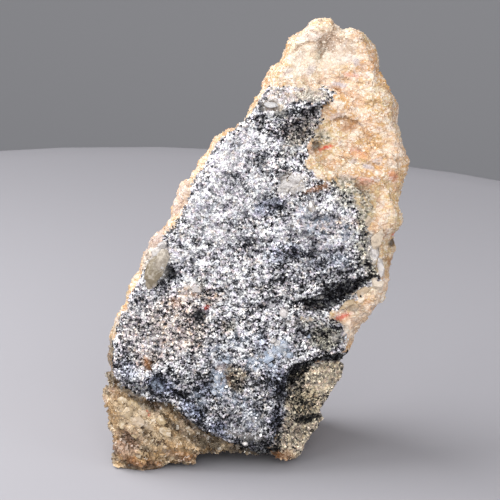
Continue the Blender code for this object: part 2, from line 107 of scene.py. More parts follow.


# Outlines and marks of the rock's front, with painted light and painted shade among them
regions = {
    "oreOutline": (
        (1.0, 65.0), (2.2, 65.6), (7.5, 65.5), (11.6, 65.2), (12.9, 64.1), (11.4, 62.2), (10.5, 59.2),
        (8.7, 55.3), (8.2, 52.0), (10.5, 50.2), (14.0, 49.6), (16.3, 47.8), (18.2, 42.7), (19.6, 38.0),
        (20.9, 33.4), (18.5, 31.0), (14.0, 28.4), (12.0, 27.0), (14.8, 25.6), (15.4, 20.9), (15.0, 19.4),
        (9.6, 17.2), (6.8, 14.0), (5.4, 9.9), (3.4, 6.1), (2.4, 3.6), (0.7, 3.4), (-5.0, 5.6), (-8.4, 7.0),
        (-12.4, 9.9), (-14.0, 12.0), (-18.4, 12.5), (-20.9, 13.8), (-25.4, 17.4), (-25.6, 19.5),
        (-24.7, 22.1), (-23.5, 25.4), (-22.5, 28.1), (-21.2, 31.5), (-18.9, 35.5), (-16.8, 38.3),
        (-15.4, 40.3), (-12.8, 43.4), (-11.4, 45.7), (-10.6, 48.6), (-9.9, 51.9), (-8.8, 54.4),
        (-7.2, 56.6), (-5.0, 58.9), (-2.4, 60.6), (-0.6, 62.4), (0.3, 63.9),
    ),
    "oreDepth": 4.2,
    # brown, grainy rock right of the ore's foot
    "umberOutline": (
        (5.0, 15.8), (7.7, 18.2), (15.0, 19.4), (18.0, 20.0), (14.0, 6.0), (8.6, 0.0), (4.4, 1.2),
        (2.6, 3.8), (3.6, 6.6), (5.2, 10.4),
    ),
    # glassy quartz under the ore
    "blockOutline": (
        (-27.0, 16.8), (-24.8, 16.6), (-20.9, 13.6), (-18.4, 12.3), (-14.0, 11.8), (-12.4, 9.7), (-8.4, 6.8),
        (-5.0, 5.4), (0.7, 3.2), (3.4, 2.6), (4.2, -3.0), (-27.0, -3.0),
    ),
    "blockDepth": 13.0,
    # the two wedges are hollows under overhangs, painted near black as their shade
    "upperWedge": (
        (20.4, 33.9), (16.8, 33.5), (14.3, 33.2), (13.2, 32.7), (12.0, 31.8), (11.0, 30.6), (6.4, 29.9),
        (9.5, 27.7), (12.4, 28.1), (14.1, 28.9), (16.1, 30.4), (18.3, 32.1),
    ),
    "lowerWedge": (
        (16.0, 20.5), (10.9, 19.8), (9.2, 19.6), (6.3, 19.1), (4.8, 17.4), (4.6, 15.9), (6.3, 14.7),
        (7.7, 16.4), (9.2, 18.1), (10.6, 18.9), (14.3, 18.9), (16.0, 19.6),
    ),
    # across, up, half width, half height, turn, strength
    "milk": (
        (2.9, 62.6, 2.4, 1.3, -10, 0.8), (6.1, 49.3, 2.3, 1.9, 0, 1), (9.4, 45.7, 0.7, 1.1, 0, 1),
        (19.7, 38.8, 1.0, 2.7, 10, 1), (-16.7, 35.8, 1.9, 3.5, -20, 1), (-10.2, 32.0, 1.6, 1.0, 0, 0.5),
        (11.2, 30.0, 0.7, 0.3, 0, 0.6), (8.6, 26.6, 1.4, 0.4, 0, 0.7), (13.4, 23.4, 0.8, 0.6, 0, 0.6),
        (5.6, 26.0, 1.2, 0.6, 0, 0.4), (-2.0, 6.8, 3.2, 0.8, -12, 0.4),
    ),
    "rust": (
        (15.3, 58.7, 2.2, 1.0, 20, 0.8), (10.2, 48.6, 2.7, 0.4, 14, 0.9), (-18.7, 1.5, 5.1, 1.1, -14, 0.9),
        (-11.2, 3.0, 5.1, 0.8, -10, 0.7), (-21.8, 6.6, 1.0, 2.0, 20, 0.5), (4.8, 2.6, 2.7, 1.2, 0, 0.7),
        (-18.2, 18.9, 0.8, 1.3, 20, 0.8), (-13.3, 29.4, 0.9, 0.7, 0, 0.5), (-5.8, 18.5, 1.2, 0.5, 30, 0.35),
        (-4.6, 16.4, 0.5, 1.1, 20, 0.25), (-23.5, 14.1, 0.9, 2.4, 0, 0.4), (23.0, 35.9, 0.9, 1.0, 30, 0.8),
        (-10.0, 30.8, 0.7, 0.5, 0, 0.5), (19.4, 53.4, 0.9, 0.5, 0, 0.4), (22.4, 53.0, 1.4, 0.5, 0, 0.4),
    ),
    "red": (
        (11.9, 55.4, 1.3, 0.35, 18, 1), (-8.5, 28.6, 0.6, 0.35, 20, 0.9),
        (-18.4, 10.2, 0.5, 0.25, -40, 0.9), (23.0, 50.7, 1.2, 0.9, -20, 0.35),
        (17.3, 54.4, 2.0, 0.9, -25, 0.22), (15.2, 27.0, 1.6, 0.5, 20, 0.7),
        (16.3, 67.5, 2.0, 0.4, -12, 0.3), (18.7, 49.8, 1.7, 0.7, -10, 0.3), (23.4, 40.6, 0.6, 0.4, 0, 0.7),
    ),
    # dark marks: black mineral, and painted shade under overhangs, around the ore's lower lip, in notches,
    # on the foot's underside and over the lower face
    "darkAndShade": (
        (13.4, 32.2, 2.8, 0.9, 18, 0.8), (7.5, 59.9, 3.4, 0.9, 32, 0.6), (8.6, 58.4, 3.4, 1.7, 34, 0.2),
        (6.6, 58.6, 2.6, 1.4, 32, 0.15), (5.3, 59.0, 0.8, 1.7, 10, 0.5), (1.0, 62.4, 0.8, 0.8, 0, 1),
        (8.6, 9.0, 1.8, 0.8, 0, 1), (5.0, 13.8, 1.0, 1.6, -20, 0.7), (3.4, 9.6, 0.9, 3.2, -10, 0.5),
        (-1.7, 4.3, 4.4, 0.9, -4, 1), (2.4, 4.0, 2.0, 1.2, 0, 0.8), (-14.3, 34.6, 1.3, 1.7, 35, 1),
        (-15.6, 32.4, 0.8, 1.2, 30, 0.9), (-9.2, 27.5, 1.3, 1.3, 0, 1), (10.2, 55.6, 0.9, 0.8, 0, 0.7),
        (23.1, 39.1, 0.9, 0.9, 0, 0.9), (-12.5, 13.8, 1.6, 0.5, -20, 1), (-16.0, 13.4, 2.2, 0.5, -6, 0.8),
        (-20.6, 15.4, 2.4, 0.6, -28, 0.8), (-16.0, 16.4, 1.4, 1.4, -20, 0.7),
        (-9.0, 8.6, 1.4, 0.7, -40, 0.8), (-4.4, 16.2, 1.0, 1.1, 0, 0.7), (4.8, 34.2, 2.7, 1.7, 25, 0.4),
        (1.0, 47.1, 1.7, 0.7, 20, 0.4), (4.1, 45.4, 1.8, 0.9, 10, 0.7), (4.6, 50.5, 1.2, 0.6, 20, 0.8),
        (11.1, 44.0, 3.1, 1.2, 10, 0.45), (-4.4, 51.0, 2.0, 0.7, -10, 0.5), (1.0, 53.6, 1.7, 1.0, 20, 0.4),
        (8.3, 37.6, 4.4, 1.5, 15, 0.5), (-1.0, 38.8, 3.4, 1.4, 15, 0.3), (16.6, 35.0, 3.4, 1.2, 15, 0.5),
        (-19.4, 29.4, 1.4, 1.2, 30, 0.4), (-20.4, 26.4, 1.4, 1.0, 0, 0.3), (6.6, 40.8, 3.0, 0.8, 12, 0.4),
        (11.4, 33.8, 3.0, 0.8, 18, 0.5), (3.0, 29.6, 3.2, 1.0, 12, 0.5), (8.6, 24.4, 1.8, 1.2, 0, 0.5),
        (7.0, 23.0, 1.4, 1.6, 0, 0.4), (2.4, 14.8, 2.6, 2.4, 0, 0.5), (-2.4, 10.0, 6.0, 5.0, -20, 0.2),
        (-18.6, 23.0, 6.0, 5.0, -10, 0.16), (-19.0, 15.0, 3.0, 0.8, -24, 0.8),
        (-11.0, 15.4, 3.4, 2.6, -20, 0.4), (9.4, 9.3, 1.7, 0.6, 5, 1), (-20.9, 0.9, 1.8, 0.7, 0, 0.9),
        (7.4, 11.2, 3.0, 1.6, 0, 0.4), (-3.0, 12.6, 13.0, 8.0, -24, 0.3), (-1.6, 5.4, 2.6, 1.5, 0, 0.85),
        (-1.7, 39.8, 1.3, 0.9, 0, 0.5), (6.1, 38.0, 1.5, 0.8, 10, 0.5), (9.4, 35.9, 6.5, 1.0, 14, 0.3),
        (4.2, 45.2, 1.3, 0.7, 0, 0.7), (9.6, 43.6, 2.4, 0.7, 8, 0.5), (7.0, 14.6, 1.6, 1.2, 0, 0.5),
        (0.6, 8.4, 0.8, 1.4, -20, 0.5), (-22.3, 6.1, 0.8, 1.2, 20, 0.5), (-16.4, 11.0, 0.9, 0.6, 0, 0.6),
        (-24.0, 15.4, 0.7, 1.2, 0, 0.5), (-18.0, 1.2, 2.0, 0.6, -14, 0.7), (-7.8, 5.3, 3.8, 1.1, -14, 0.8),
        (12.0, 24.0, 3.4, 3.0, 0, 0.35), (-24.6, 19.8, 0.9, 3.4, 4, 0.75), (-3.6, 15.4, 1.2, 1.2, 0, 0.6),
        (0.6, 4.9, 3.6, 1.5, 0, 0.85),
    ),
    "navy": (
        (-16.0, 15.4, 3.4, 1.5, -20, 1), (-10.8, 11.4, 3.2, 1.5, -38, 1), (-6.4, 8.0, 3.0, 1.3, -30, 0.9),
        (3.6, 17.0, 2.6, 2.6, 0, 0.6), (-21.6, 18.0, 2.0, 1.6, -30, 0.5), (4.6, 38.0, 4.0, 1.8, 10, 0.5),
        (2.4, 45.6, 3.0, 1.6, 10, 0.6), (12.0, 37.0, 4.0, 2.4, 10, 0.3), (4.0, 8.6, 1.6, 4.0, -8, 0.6),
        (-8.6, 14.6, 2.4, 1.6, 0, 0.7), (0.8, 22.6, 2.0, 1.6, 0, 0.5),
    ),
    "olive": (
        (-3.2, 16.6, 2.2, 2.2, 0, 0.9), (-4.6, 25.4, 1.5, 1.0, 0, 0.7), (16.3, 48.5, 2.7, 1.7, -20, 1),
        (18.2, 43.6, 1.5, 3.2, -14, 1), (18.6, 38.6, 1.7, 3.6, -6, 0.9), (15.4, 46.6, 2.4, 1.2, -20, 0.6),
        (19.7, 34.9, 1.7, 2.0, 0, 0.9), (11.2, 57.0, 2.0, 1.2, 30, 0.9), (7.0, 57.2, 2.4, 1.2, 35, 0.6),
        (9.5, 64.2, 3.7, 1.0, 0, 0.6), (11.9, 23.6, 3.4, 2.6, 0, 1), (9.4, 26.0, 3.0, 0.8, 0, 0.5),
        (8.6, 12.2, 2.6, 2.2, 10, 0.5), (11.2, 71.9, 0.8, 2.4, -15, 0.5), (5.4, 55.3, 2.0, 1.4, 40, 0.4),
        (-9.2, 33.0, 1.2, 0.8, 0, 0.5), (2.0, 31.6, 2.0, 0.8, 0, 0.3), (-20.4, 38.0, 1.4, 1.0, 0, 0.4),
        (4.4, 61.0, 1.4, 0.8, 0, 0.6), (8.4, 58.4, 3.0, 1.8, 32, 0.5), (14.6, 49.4, 3.4, 1.0, -20, 0.8),
        (17.6, 47.4, 2.8, 2.2, -20, 0.8), (-23.8, 14.3, 1.4, 2.2, 0, 0.8), (-11.0, 6.6, 4.2, 2.2, -30, 0.5),
        (0.4, 3.4, 3.0, 0.8, 0, 0.6), (-17.4, 11.2, 2.6, 1.0, -8, 0.6),
    ),
    "haze": (
        (-6.3, 16.0, 1.6, 2.8, 10, 0.9), (-5.2, 19.6, 1.6, 1.0, 0, 0.8), (0.2, 19.0, 1.8, 1.5, 20, 0.8),
        (3.9, 21.8, 1.9, 1.6, 0, 1), (-16.4, 15.2, 1.2, 0.7, -20, 0.6), (-2.7, 12.8, 3.4, 1.0, -20, 0.4),
        (-2.0, 23.3, 3.1, 1.4, 10, 0.35), (10.9, 42.4, 3.8, 1.5, 10, 0.5), (-7.1, 21.5, 1.7, 1.2, 0, 0.4),
        (-0.7, 9.6, 2.0, 2.4, 30, 0.3), (8.6, 44.8, 1.4, 1.4, 0, 0.4), (-9.4, 13.0, 1.8, 1.0, -30, 0.4),
        (14.4, 36.8, 2.0, 1.0, 0, 0.3), (15.0, 42.0, 1.4, 2.2, 0, 0.4),
    ),
    # pale patches, and painted light on the upper left of the ore, the top of the rock, its right rim and
    # the shaded step at the tip
    "paleAndLit": (
        (-4.0, 47.0, 9.0, 11.0, -30, 0.55), (-17.6, 24.6, 6.0, 6.0, -30, 0.4),
        (11.0, 41.6, 6.0, 6.0, 0, 0.55), (0.0, 36.0, 12.0, 5.0, 0, 0.2), (9.6, 70.6, 5.0, 4.0, 0, 0.9),
        (12.0, 72.6, 7.0, 4.6, -20, 0.7), (10.0, 67.6, 6.0, 2.6, 0, 0.4), (17.0, 65.0, 3.0, 3.0, 0, 0.3),
        (-3.4, 54.9, 5.8, 2.7, 42, 0.9), (-8.7, 43.9, 3.4, 5.8, 30, 0.8), (-11.2, 36.2, 3.4, 3.4, 0, 0.6),
        (-1.0, 45.6, 4.1, 1.4, 20, 0.5), (1.0, 41.0, 6.8, 1.0, 12, 0.5), (-7.0, 29.4, 6.8, 2.4, 8, 0.2),
        (7.5, 41.7, 6.8, 1.0, 14, 0.5), (-0.3, 64.4, 2.7, 0.9, 10, 0.7), (6.2, 64.4, 6.6, 1.3, 0, 1),
        (1.0, 30.4, 5.5, 0.8, 18, 0.3), (-18.0, 24.3, 2.7, 2.4, 0, 0.2), (-3.6, 8.2, 3.4, 0.9, -24, 0.5),
        (-20.0, 17.8, 2.4, 0.7, -30, 0.5), (11.8, 15.8, 2.8, 2.8, 0, 0.9), (7.4, 5.8, 2.4, 2.4, 0, 0.7),
        (17.6, 25.4, 3.0, 3.8, -30, 0.6), (21.4, 31.4, 2.0, 3.0, 0, 0.4), (22.4, 43.0, 1.6, 3.6, 0, 0.3),
        (23.6, 56.0, 2.2, 6.0, 0, 0.4), (-19.9, 9.6, 3.6, 2.6, 20, 0.9), (-16.8, 5.8, 2.0, 2.0, 0, 0.8),
        (13.2, 73.4, 2.8, 3.4, -14, 1), (-0.4, 8.8, 1.5, 1.8, 0, 0.7), (-11.6, 31.2, 2.0, 1.4, -20, 0.8),
    ),
    "warm": (
        (-12.9, 25.7, 6.4, 5.6, 0, 0.5), (-18.0, 20.1, 3.4, 2.0, 0, 0.5), (-7.8, 30.3, 2.7, 1.7, 0, 0.6),
        (12.9, 42.7, 5.1, 1.5, 0, 0.4), (-20.0, 24.0, 3.4, 5.0, 0, 0.3), (-11.0, 31.4, 2.6, 1.2, 0, 0.6),
        (9.6, 28.6, 1.8, 0.6, 0, 0.5), (8.0, 59.0, 4.0, 2.6, 32, 0.3), (6.4, 64.3, 6.4, 1.4, 0, 0.4),
        (-3.4, 16.8, 2.2, 2.2, 0, 0.45),
    ),
    "violet": (
        (15.4, 71.4, 1.6, 2.4, -10, 0.26), (9.2, 74.2, 2.2, 1.2, -20, 0.4), (14.3, 65.9, 1.5, 0.6, -12, 1),
        (18.9, 52.2, 1.2, 0.6, -10, 0.9), (13.6, 60.8, 1.6, 0.6, 20, 0.5), (9.4, 68.4, 1.2, 0.6, 40, 0.5),
        (16.6, 53.2, 0.9, 0.6, 0, 0.7), (5.4, 68.2, 1.4, 0.5, 30, 0.5), (15.4, 50.2, 1.6, 0.7, 0, 0.5),
        (21.4, 46.0, 1.2, 0.7, 30, 0.4), (16.9, 69.8, 0.6, 0.8, 0, 0.7), (-21.9, 5.3, 2.0, 2.4, 0, 0.8),
        (-12.6, 46.4, 1.2, 3.6, -26, 0.4), (-17.2, 39.2, 1.8, 3.4, -30, 0.6),
    ),
    "orange": (
        (1.8, 67.2, 1.2, 3.2, -20, 0.8), (20.4, 56.0, 4.4, 7.6, 0, 0.65), (-12.9, 46.4, 1.6, 5.0, -26, 0.7),
        (-16.4, 40.4, 1.2, 2.6, -30, 0.8), (14.0, 50.4, 4.4, 0.8, 6, 0.8), (24.4, 50.0, 1.4, 4.0, 0, 0.3),
        (16.4, 62.4, 3.0, 1.2, -20, 0.4), (13.4, 68.8, 4.0, 0.8, -6, 0.4), (-24.0, 9.7, 0.8, 2.4, 0, 0.8),
        (-11.9, 4.4, 3.8, 1.3, -10, 0.7),
    ),
}
marks = ("milk", "rust", "red", "darkAndShade", "navy", "olive", "haze", "paleAndLit", "warm", "violet", "orange")
# Painted shade along the ore's stepped edges and in crevices of the quartz: half width, strength, then
# points as across and up
shadeSeams = (
    (0.55, 0.8, (-25.2, 16.9), (-20.9, 13.6), (-18.4, 12.3), (-14.0, 11.7), (-12.4, 9.6), (-8.4, 6.7),
     (-5.0, 5.3), (0.7, 3.2), (3.4, 2.8)),
    (0.30, 0.6, (-20.4, 12.4), (-16.0, 10.6), (-13.4, 7.6), (-9.0, 4.8)),
    (0.24, 0.6, (-22.6, 7.4), (-19.6, 5.4), (-17.0, 2.9), (-12.6, 3.0)),
    (0.25, 0.7, (-16.4, 3.8), (-12.4, 4.4), (-9.4, 3.6), (-4.0, 3.2)),
    (0.35, 0.8, (4.4, 15.6), (4.0, 11.8), (3.6, 8.6), (3.9, 5.4), (3.0, 3.6)),
    (0.30, 0.7, (0.4, 60.8), (2.6, 60.6), (4.4, 61.4), (8.6, 61.6), (12.2, 62.8)),
)
# Thin open cracks, cut in and painted brown on host rock as the shade in them: width, depth, then points as
# across and up
cracks = (
    (0.14, 0.30, (13.4, 76.6), (13.2, 75.4), (12.6, 73.4), (12.0, 72.4), (11.2, 71.2), (10.8, 70.2)),
    (0.20, 0.30, (6.6, 71.6), (7.4, 72.4), (8.4, 72.9), (9.6, 73.0), (11.4, 72.6)),
    (0.18, 0.30, (12.4, 59.6), (13.4, 60.0), (15.6, 60.2), (17.0, 59.6), (18.0, 58.8), (18.4, 57.4)),
    (0.16, 0.25, (18.2, 62.6), (19.6, 63.4), (21.0, 63.0), (22.6, 62.4)),
    (0.16, 0.25, (10.6, 66.2), (12.6, 67.2), (15.0, 67.0), (17.4, 66.4), (19.0, 66.2)),
    (0.16, 0.25, (12.6, 53.0), (14.4, 53.8), (16.4, 53.4), (18.8, 52.8), (20.8, 52.6)),
    (0.20, 0.35, (21.4, 41.4), (20.6, 39.0), (20.8, 36.4), (22.4, 36.6)),
)
rockShape = {
    "weld": 1e-6,                 # metres
    "voxel": 0.27,
    "triangles": 190000,
    "jitter": 0.05,               # share of a voxel
    "seed": 11,
    # size, tilt, step and dome of each crust of grains
    "hostCrusts": ((3.4, 0.12, 0.04, 0.04), (1.3, 0.17, 0.07, 0.04), (0.6, 0.14, 0.06, 0.03)),
    "oreCrusts": ((1.3, 0.30, 0.20, 0.20),),
    "quartzCrusts": ((3.0, 0.34, 0.20, 0.08), (1.4, 0.42, 0.20, 0.10), (0.7, 0.22, 0.10, 0.06)),
    # turn, then stretch along and across
    "hostGrid": (-14.0, 0.72, 1.25),
    "quartzGrid": (-36.0, 0.65, 1.2),
    "oreShift": 31.0,
    "quartzShift": 17.0,
    "grainSeeds": (41.0, 67.0),   # of the tilt and of the level of a grain
    "oreSink": 0.16,              # room for the ore's chips
    "milkQuartz": 0.8,            # how much of a milky stain is quartz
    "leastShare": 0.01,
    # painted shade in the hollows between grains, darkest at this depth
    "hollowShade": 0.6,                # depth of the darkest hollow between grains
    "stillFoot": (0.05, 0.7),     # heights over the floor where the skin starts to move
    "bareFoot": (0.35, 0.8),      # heights over the floor where chips start
    # where a region is sure enough to carry its chips
    "oreGrains": (0.3, 0.7),
    "hostGrains": (0.5, 0.9),
    "quartzGrains": (0.4, 0.8),
}
# How the edges of regions and marks wander, in mm
edges = {
    "wobble": (2.2, 3.0),         # size and seed
    "fray": (0.7, 9.0),
    "rough": (0.5, 0.4),          # shares of wobble and fray
    "oreRough": (0.6, 0.8),
    "wedgeRough": 0.4,
    "shadeSeamRough": 0.5,
    "markFray": 0.7,
    "crackFray": 0.2,
    "outline": 0.4,               # softness
    # how strongly the wedges' hollows are painted near black as shade
    "wedge": (0.3, 0.8),
    "wedgeShade": 0.95,
    "front": (-0.3, 0.1),         # how far forward a face looks before milk shows on it
    "markDepth": (8.0, 11.0),
    "blockDepth": (2.0, 1.0),     # wobble and softness of the region's far side
    "oreDepth": (1.2, 0.8),
}


def bakedMesh(item):
    graph = bpy.context.evaluated_depsgraph_get()
    mesh = bpy.data.meshes.new_from_object(item.evaluated_get(graph))
    item.modifiers.clear()
    item.data = mesh


def newObject(name, data):
    item = bpy.data.objects.new(name, data)
    bpy.context.scene.collection.objects.link(item)
    return item


# A fine, even skin over the CAD rock
def skinOf(nodeName):
    bm = bmesh.new()
    bm.from_mesh(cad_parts[nodeName].data)
    bmesh.ops.remove_doubles(bm, verts=bm.verts, dist=rockShape["weld"])
    mesh = bpy.data.meshes.new("rock")
    bm.to_mesh(mesh)
    bm.free()
    mesh.materials.clear()
    item = newObject("rock", mesh)
    step = item.modifiers.new("Remesh", "REMESH")
    step.mode = "VOXEL"
    step.voxel_size = rockShape["voxel"] * mm
    bakedMesh(item)
    return item


def thinOut(item, most):
    item.data.calc_loop_triangles()
    step = item.modifiers.new("Decimate", "DECIMATE")
    step.ratio = min(1.0, most / len(item.data.loop_triangles))
    step.use_collapse_triangulate = True
    bakedMesh(item)


def readVectors(items, name):
    values = np.empty(len(items) * 3, np.float32)
    items.foreach_get(name, values)
    return values.reshape(-1, 3).astype(float)


# Height of a crust of tilted, slightly domed grains that meet in creases
def grainHeights(points, size, tilt, step, dome):
    leanSeed, levelSeed = rockShape["grainSeeds"]
    heights = np.empty(len(points))
    for i, p in enumerate(points):
        spot = Vector(p) / size
        gaps, centres = noise.voronoi(spot)
        best = -farAway
        for gap, centre in zip(gaps, centres):
            lean = noise.cell_vector(centre * leanSeed)
            level = noise.cell(centre * levelSeed)
            best = max(best, (spot - centre).dot(lean) * tilt + (level - 0.5) * step - gap * gap * dome)
        heights[i] = size * best
    return heights - heights.mean()


# Soft lines: half width, strength, then points as across and up
def lineShare(across, up, lines, wobble):
    total = np.zeros(len(across))
    for width, strength, *places in lines:
        gap = np.full(len(across), farAway)
        for (x1, z1), (x2, z2) in zip(places, places[1:]):
            dx, dz = x2 - x1, z2 - z1
            part = clamp01(((across - x1) * dx + (up - z1) * dz) / (dx * dx + dz * dz))
            gap = np.minimum(gap, np.hypot(across - x1 - part * dx, up - z1 - part * dz))
        full, gone = fade["line"]
        total = np.maximum(total, strength * (1.0 - soft(gap + wobble, width * full, width * gone)))
    return total


# Turned and stretched places, for grains that are longer than wide
def gridPlaces(face, grid):
    turn, along, side = grid
    angle = math.radians(turn)
    across = face[:, 0] * math.cos(angle) + face[:, 1] * math.sin(angle)
    up = face[:, 1] * math.cos(angle) - face[:, 0] * math.sin(angle)
    return np.stack([across * along, up * side, face[:, 2]], axis=1)


def outlineMask(face, name, wobble):
    distance = outlineDistance(face[:, 0], face[:, 1], regions[name])
    return soft(distance + wobble, -edges["outline"], edges["outline"])


# 1 near the front, fading to 0 at the region's depth
def depthMask(depth, name, wobble):
    wander, softness = edges[name]
    return 1.0 - soft(depth + wobble * wander, regions[name] - softness, regions[name] + softness)


def regionMasks(face, normals):
    across, up, depth = face.T
    lean = math.radians(stance["lean"])
    front = soft(normals[:, 2] * math.sin(lean) - normals[:, 1] * math.cos(lean), *edges["front"])
    wobble = noiseAt(face, *edges["wobble"])
    fray = noiseAt(face, *edges["fray"])
    rough = wobble * edges["rough"][0] + fray * edges["rough"][1]
    near = 1.0 - soft(depth, *edges["markDepth"])
    masks = {"block": outlineMask(face, "blockOutline", rough) * depthMask(depth, "blockDepth", wobble)}
    for name in marks:
        masks[name] = spotShare(across, up, regions[name], wobble + fray * edges["markFray"]) * near
    masks["umber"] = outlineMask(face, "umberOutline", rough) * near
    oreRough = wobble * edges["oreRough"][0] + fray * edges["oreRough"][1]
    ore = outlineMask(face, "oreOutline", oreRough) * depthMask(depth, "oreDepth", wobble)
    wedgeRough = rough * edges["wedgeRough"]
    wedges = np.maximum(outlineMask(face, "upperWedge", wedgeRough),
                        outlineMask(face, "lowerWedge", wedgeRough))
    masks["ore"] = np.maximum(np.maximum(ore, masks["umber"]), wedges * near) * (1.0 - masks["block"])
    masks["milk"] *= front
    masks["crack"] = lineShare(across, up, cracks, fray * edges["crackFray"]) * near
    # painted shade: the wedges' hollows and the seams go near black
    for darkAndShade in (soft(wedges, *edges["wedge"]) * near * edges["wedgeShade"],
                 lineShare(across, up, shadeSeams, rough * edges["shadeSeamRough"]) * near):
        masks["darkAndShade"] = np.maximum(masks["darkAndShade"], darkAndShade)
    return masks


def addAttribute(mesh, name, values):
    layer = mesh.attributes.new(name, "FLOAT", "POINT")
    layer.data.foreach_set("value", values.astype(np.float32))


def makeRock():
    item = skinOf("specimen")
    mesh = item.data
    points = readVectors(mesh.vertices, "co")
    normals = readVectors(mesh.vertex_normals, "vector")
    face = toFace(points)
    masks = regionMasks(face, normals)
    quartz = np.maximum(masks["block"], masks["milk"] * rockShape["milkQuartz"])
    bareOre = masks["ore"] * (1.0 - quartz)
    host = clamp01(1.0 - masks["ore"] - quartz)
    height = -rockShape["oreSink"] * bareOre - masks["crack"]
    for crusts, part, places in (
        ("hostCrusts", host, gridPlaces(face, rockShape["hostGrid"])),
        ("oreCrusts", bareOre, face + rockShape["oreShift"]),
        ("quartzCrusts", quartz, gridPlaces(face + rockShape["quartzShift"], rockShape["quartzGrid"])),
    ):
        chosen = part > rockShape["leastShare"]
        for crust in rockShape[crusts]:
            height[chosen] += grainHeights(places[chosen], *crust) * part[chosen]
    rng = np.random.default_rng(rockShape["seed"])
    jitter = rng.normal(size=points.shape) * rockShape["jitter"] * rockShape["voxel"]
    still = soft(points[:, 2] / mm, *rockShape["stillFoot"])[:, None]
    points = points + (normals * height[:, None] + jitter) * mm * still
    mesh.vertices.foreach_set("co", points.astype(np.float32).ravel())
    clear = soft(points[:, 2] / mm, *rockShape["bareFoot"])
    # painted shade in the hollows between grains, from the crusts' heights
    masks["hollowShade"] = clamp01(0.5 - height / rockShape["hollowShade"])
    for name, part in (("oreGrains", bareOre), ("hostGrains", host), ("quartzGrains", quartz)):
        masks[name] = soft(part, *rockShape[name]) * clear
    for name, values in masks.items():
        addAttribute(mesh, name, values)
    mesh.update()
    thinOut(item, rockShape["triangles"])
    item.data.validate()
    return item


print("rock: making the skin")
rock = makeRock()
print("rock: triangles", len(rock.data.polygons))


# Node helpers
def linkOrSet(tree, socket, source):
    if isinstance(source, bpy.types.NodeSocket):
        tree.links.new(source, socket)
    else:
        socket.default_value = source


def addNode(tree, kind, links=(), **settings):
    node = tree.nodes.new(kind)
    for key, value in settings.items():
        setattr(node, key, value)
    shown = [socket for socket in node.inputs if socket.enabled]
    for key, source in links:
        socket = shown[key] if isinstance(key, int) else next(s for s in shown if s.name == key)
        linkOrSet(tree, socket, source)
    return node


def firstOutput(node):
    return next(socket for socket in node.outputs if socket.enabled)


def newGroup(name, kind, inputs, outputs):
    tree = bpy.data.node_groups.new(name, kind)
    for label, socketKind, value in inputs:
        socket = tree.interface.new_socket(label, in_out="INPUT", socket_type=socketKind)
        if value is not None:
            socket.default_value = value
    for label, socketKind in outputs:
        tree.interface.new_socket(label, in_out="OUTPUT", socket_type=socketKind)
    return tree, tree.nodes.new("NodeGroupInput").outputs, tree.nodes.new("NodeGroupOutput").inputs


def calc(tree, operation, a, b=0.0, c=0.0):
    links = [(0, a), (1, b)] + ([(2, c)] if operation == "MULTIPLY_ADD" else [])
    return firstOutput(addNode(tree, "ShaderNodeMath", links, operation=operation))


def rampNode(tree, source, stops):
    node = addNode(tree, "ShaderNodeValToRGB", [(0, source)])
    ramp = node.color_ramp
    while len(ramp.elements) < len(stops):
        ramp.elements.new(1.0)
    for element, (place, colour) in zip(ramp.elements, stops):
        element.position = place
        element.color = (*colour, 1.0)
    return node.outputs[0]


# Random tone of one grain, and the distance from its middle
def makeGrainGroup():
    tree, given, made = newGroup(
        "grain", "ShaderNodeTree",
        [("Vector", "NodeSocketVector", None), ("Grains per metre", "NodeSocketFloat", 2500.0)],
        [("Tone", "NodeSocketFloat"), ("Rim", "NodeSocketFloat")],
    )
    cells = addNode(tree, "ShaderNodeTexVoronoi",
                    [("Vector", given["Vector"]), ("Scale", given["Grains per metre"])])
    split = addNode(tree, "ShaderNodeSeparateColor", [(0, cells.outputs["Color"])])
    tree.links.new(split.outputs[0], made["Tone"])
    tree.links.new(cells.outputs["Distance"], made["Rim"])
    return tree


# A cloudy mask between two thresholds
def makeCloudGroup():
    tree, given, made = newGroup(
        "cloud", "ShaderNodeTree",
        [("Vector", "NodeSocketVector", None), ("Clouds per metre", "NodeSocketFloat", 100.0),
         ("Seed", "NodeSocketFloat", 0.0), ("Low", "NodeSocketFloat", 0.4),
         ("High", "NodeSocketFloat", 0.6)],
        [("Mask", "NodeSocketFloat")],
    )
    cloud = addNode(
        tree, "ShaderNodeTexNoise",
        [("Vector", given["Vector"]), ("W", given["Seed"]), ("Scale", given["Clouds per metre"]),
         ("Detail", 4.0)],
        noise_dimensions="4D",
    )
    spread = addNode(
        tree, "ShaderNodeMapRange",
        [("Value", cloud.outputs[0]), ("From Min", given["Low"]), ("From Max", given["High"])],
        interpolation_type="SMOOTHSTEP",
    )
    tree.links.new(firstOutput(spread), made["Mask"])
    return tree


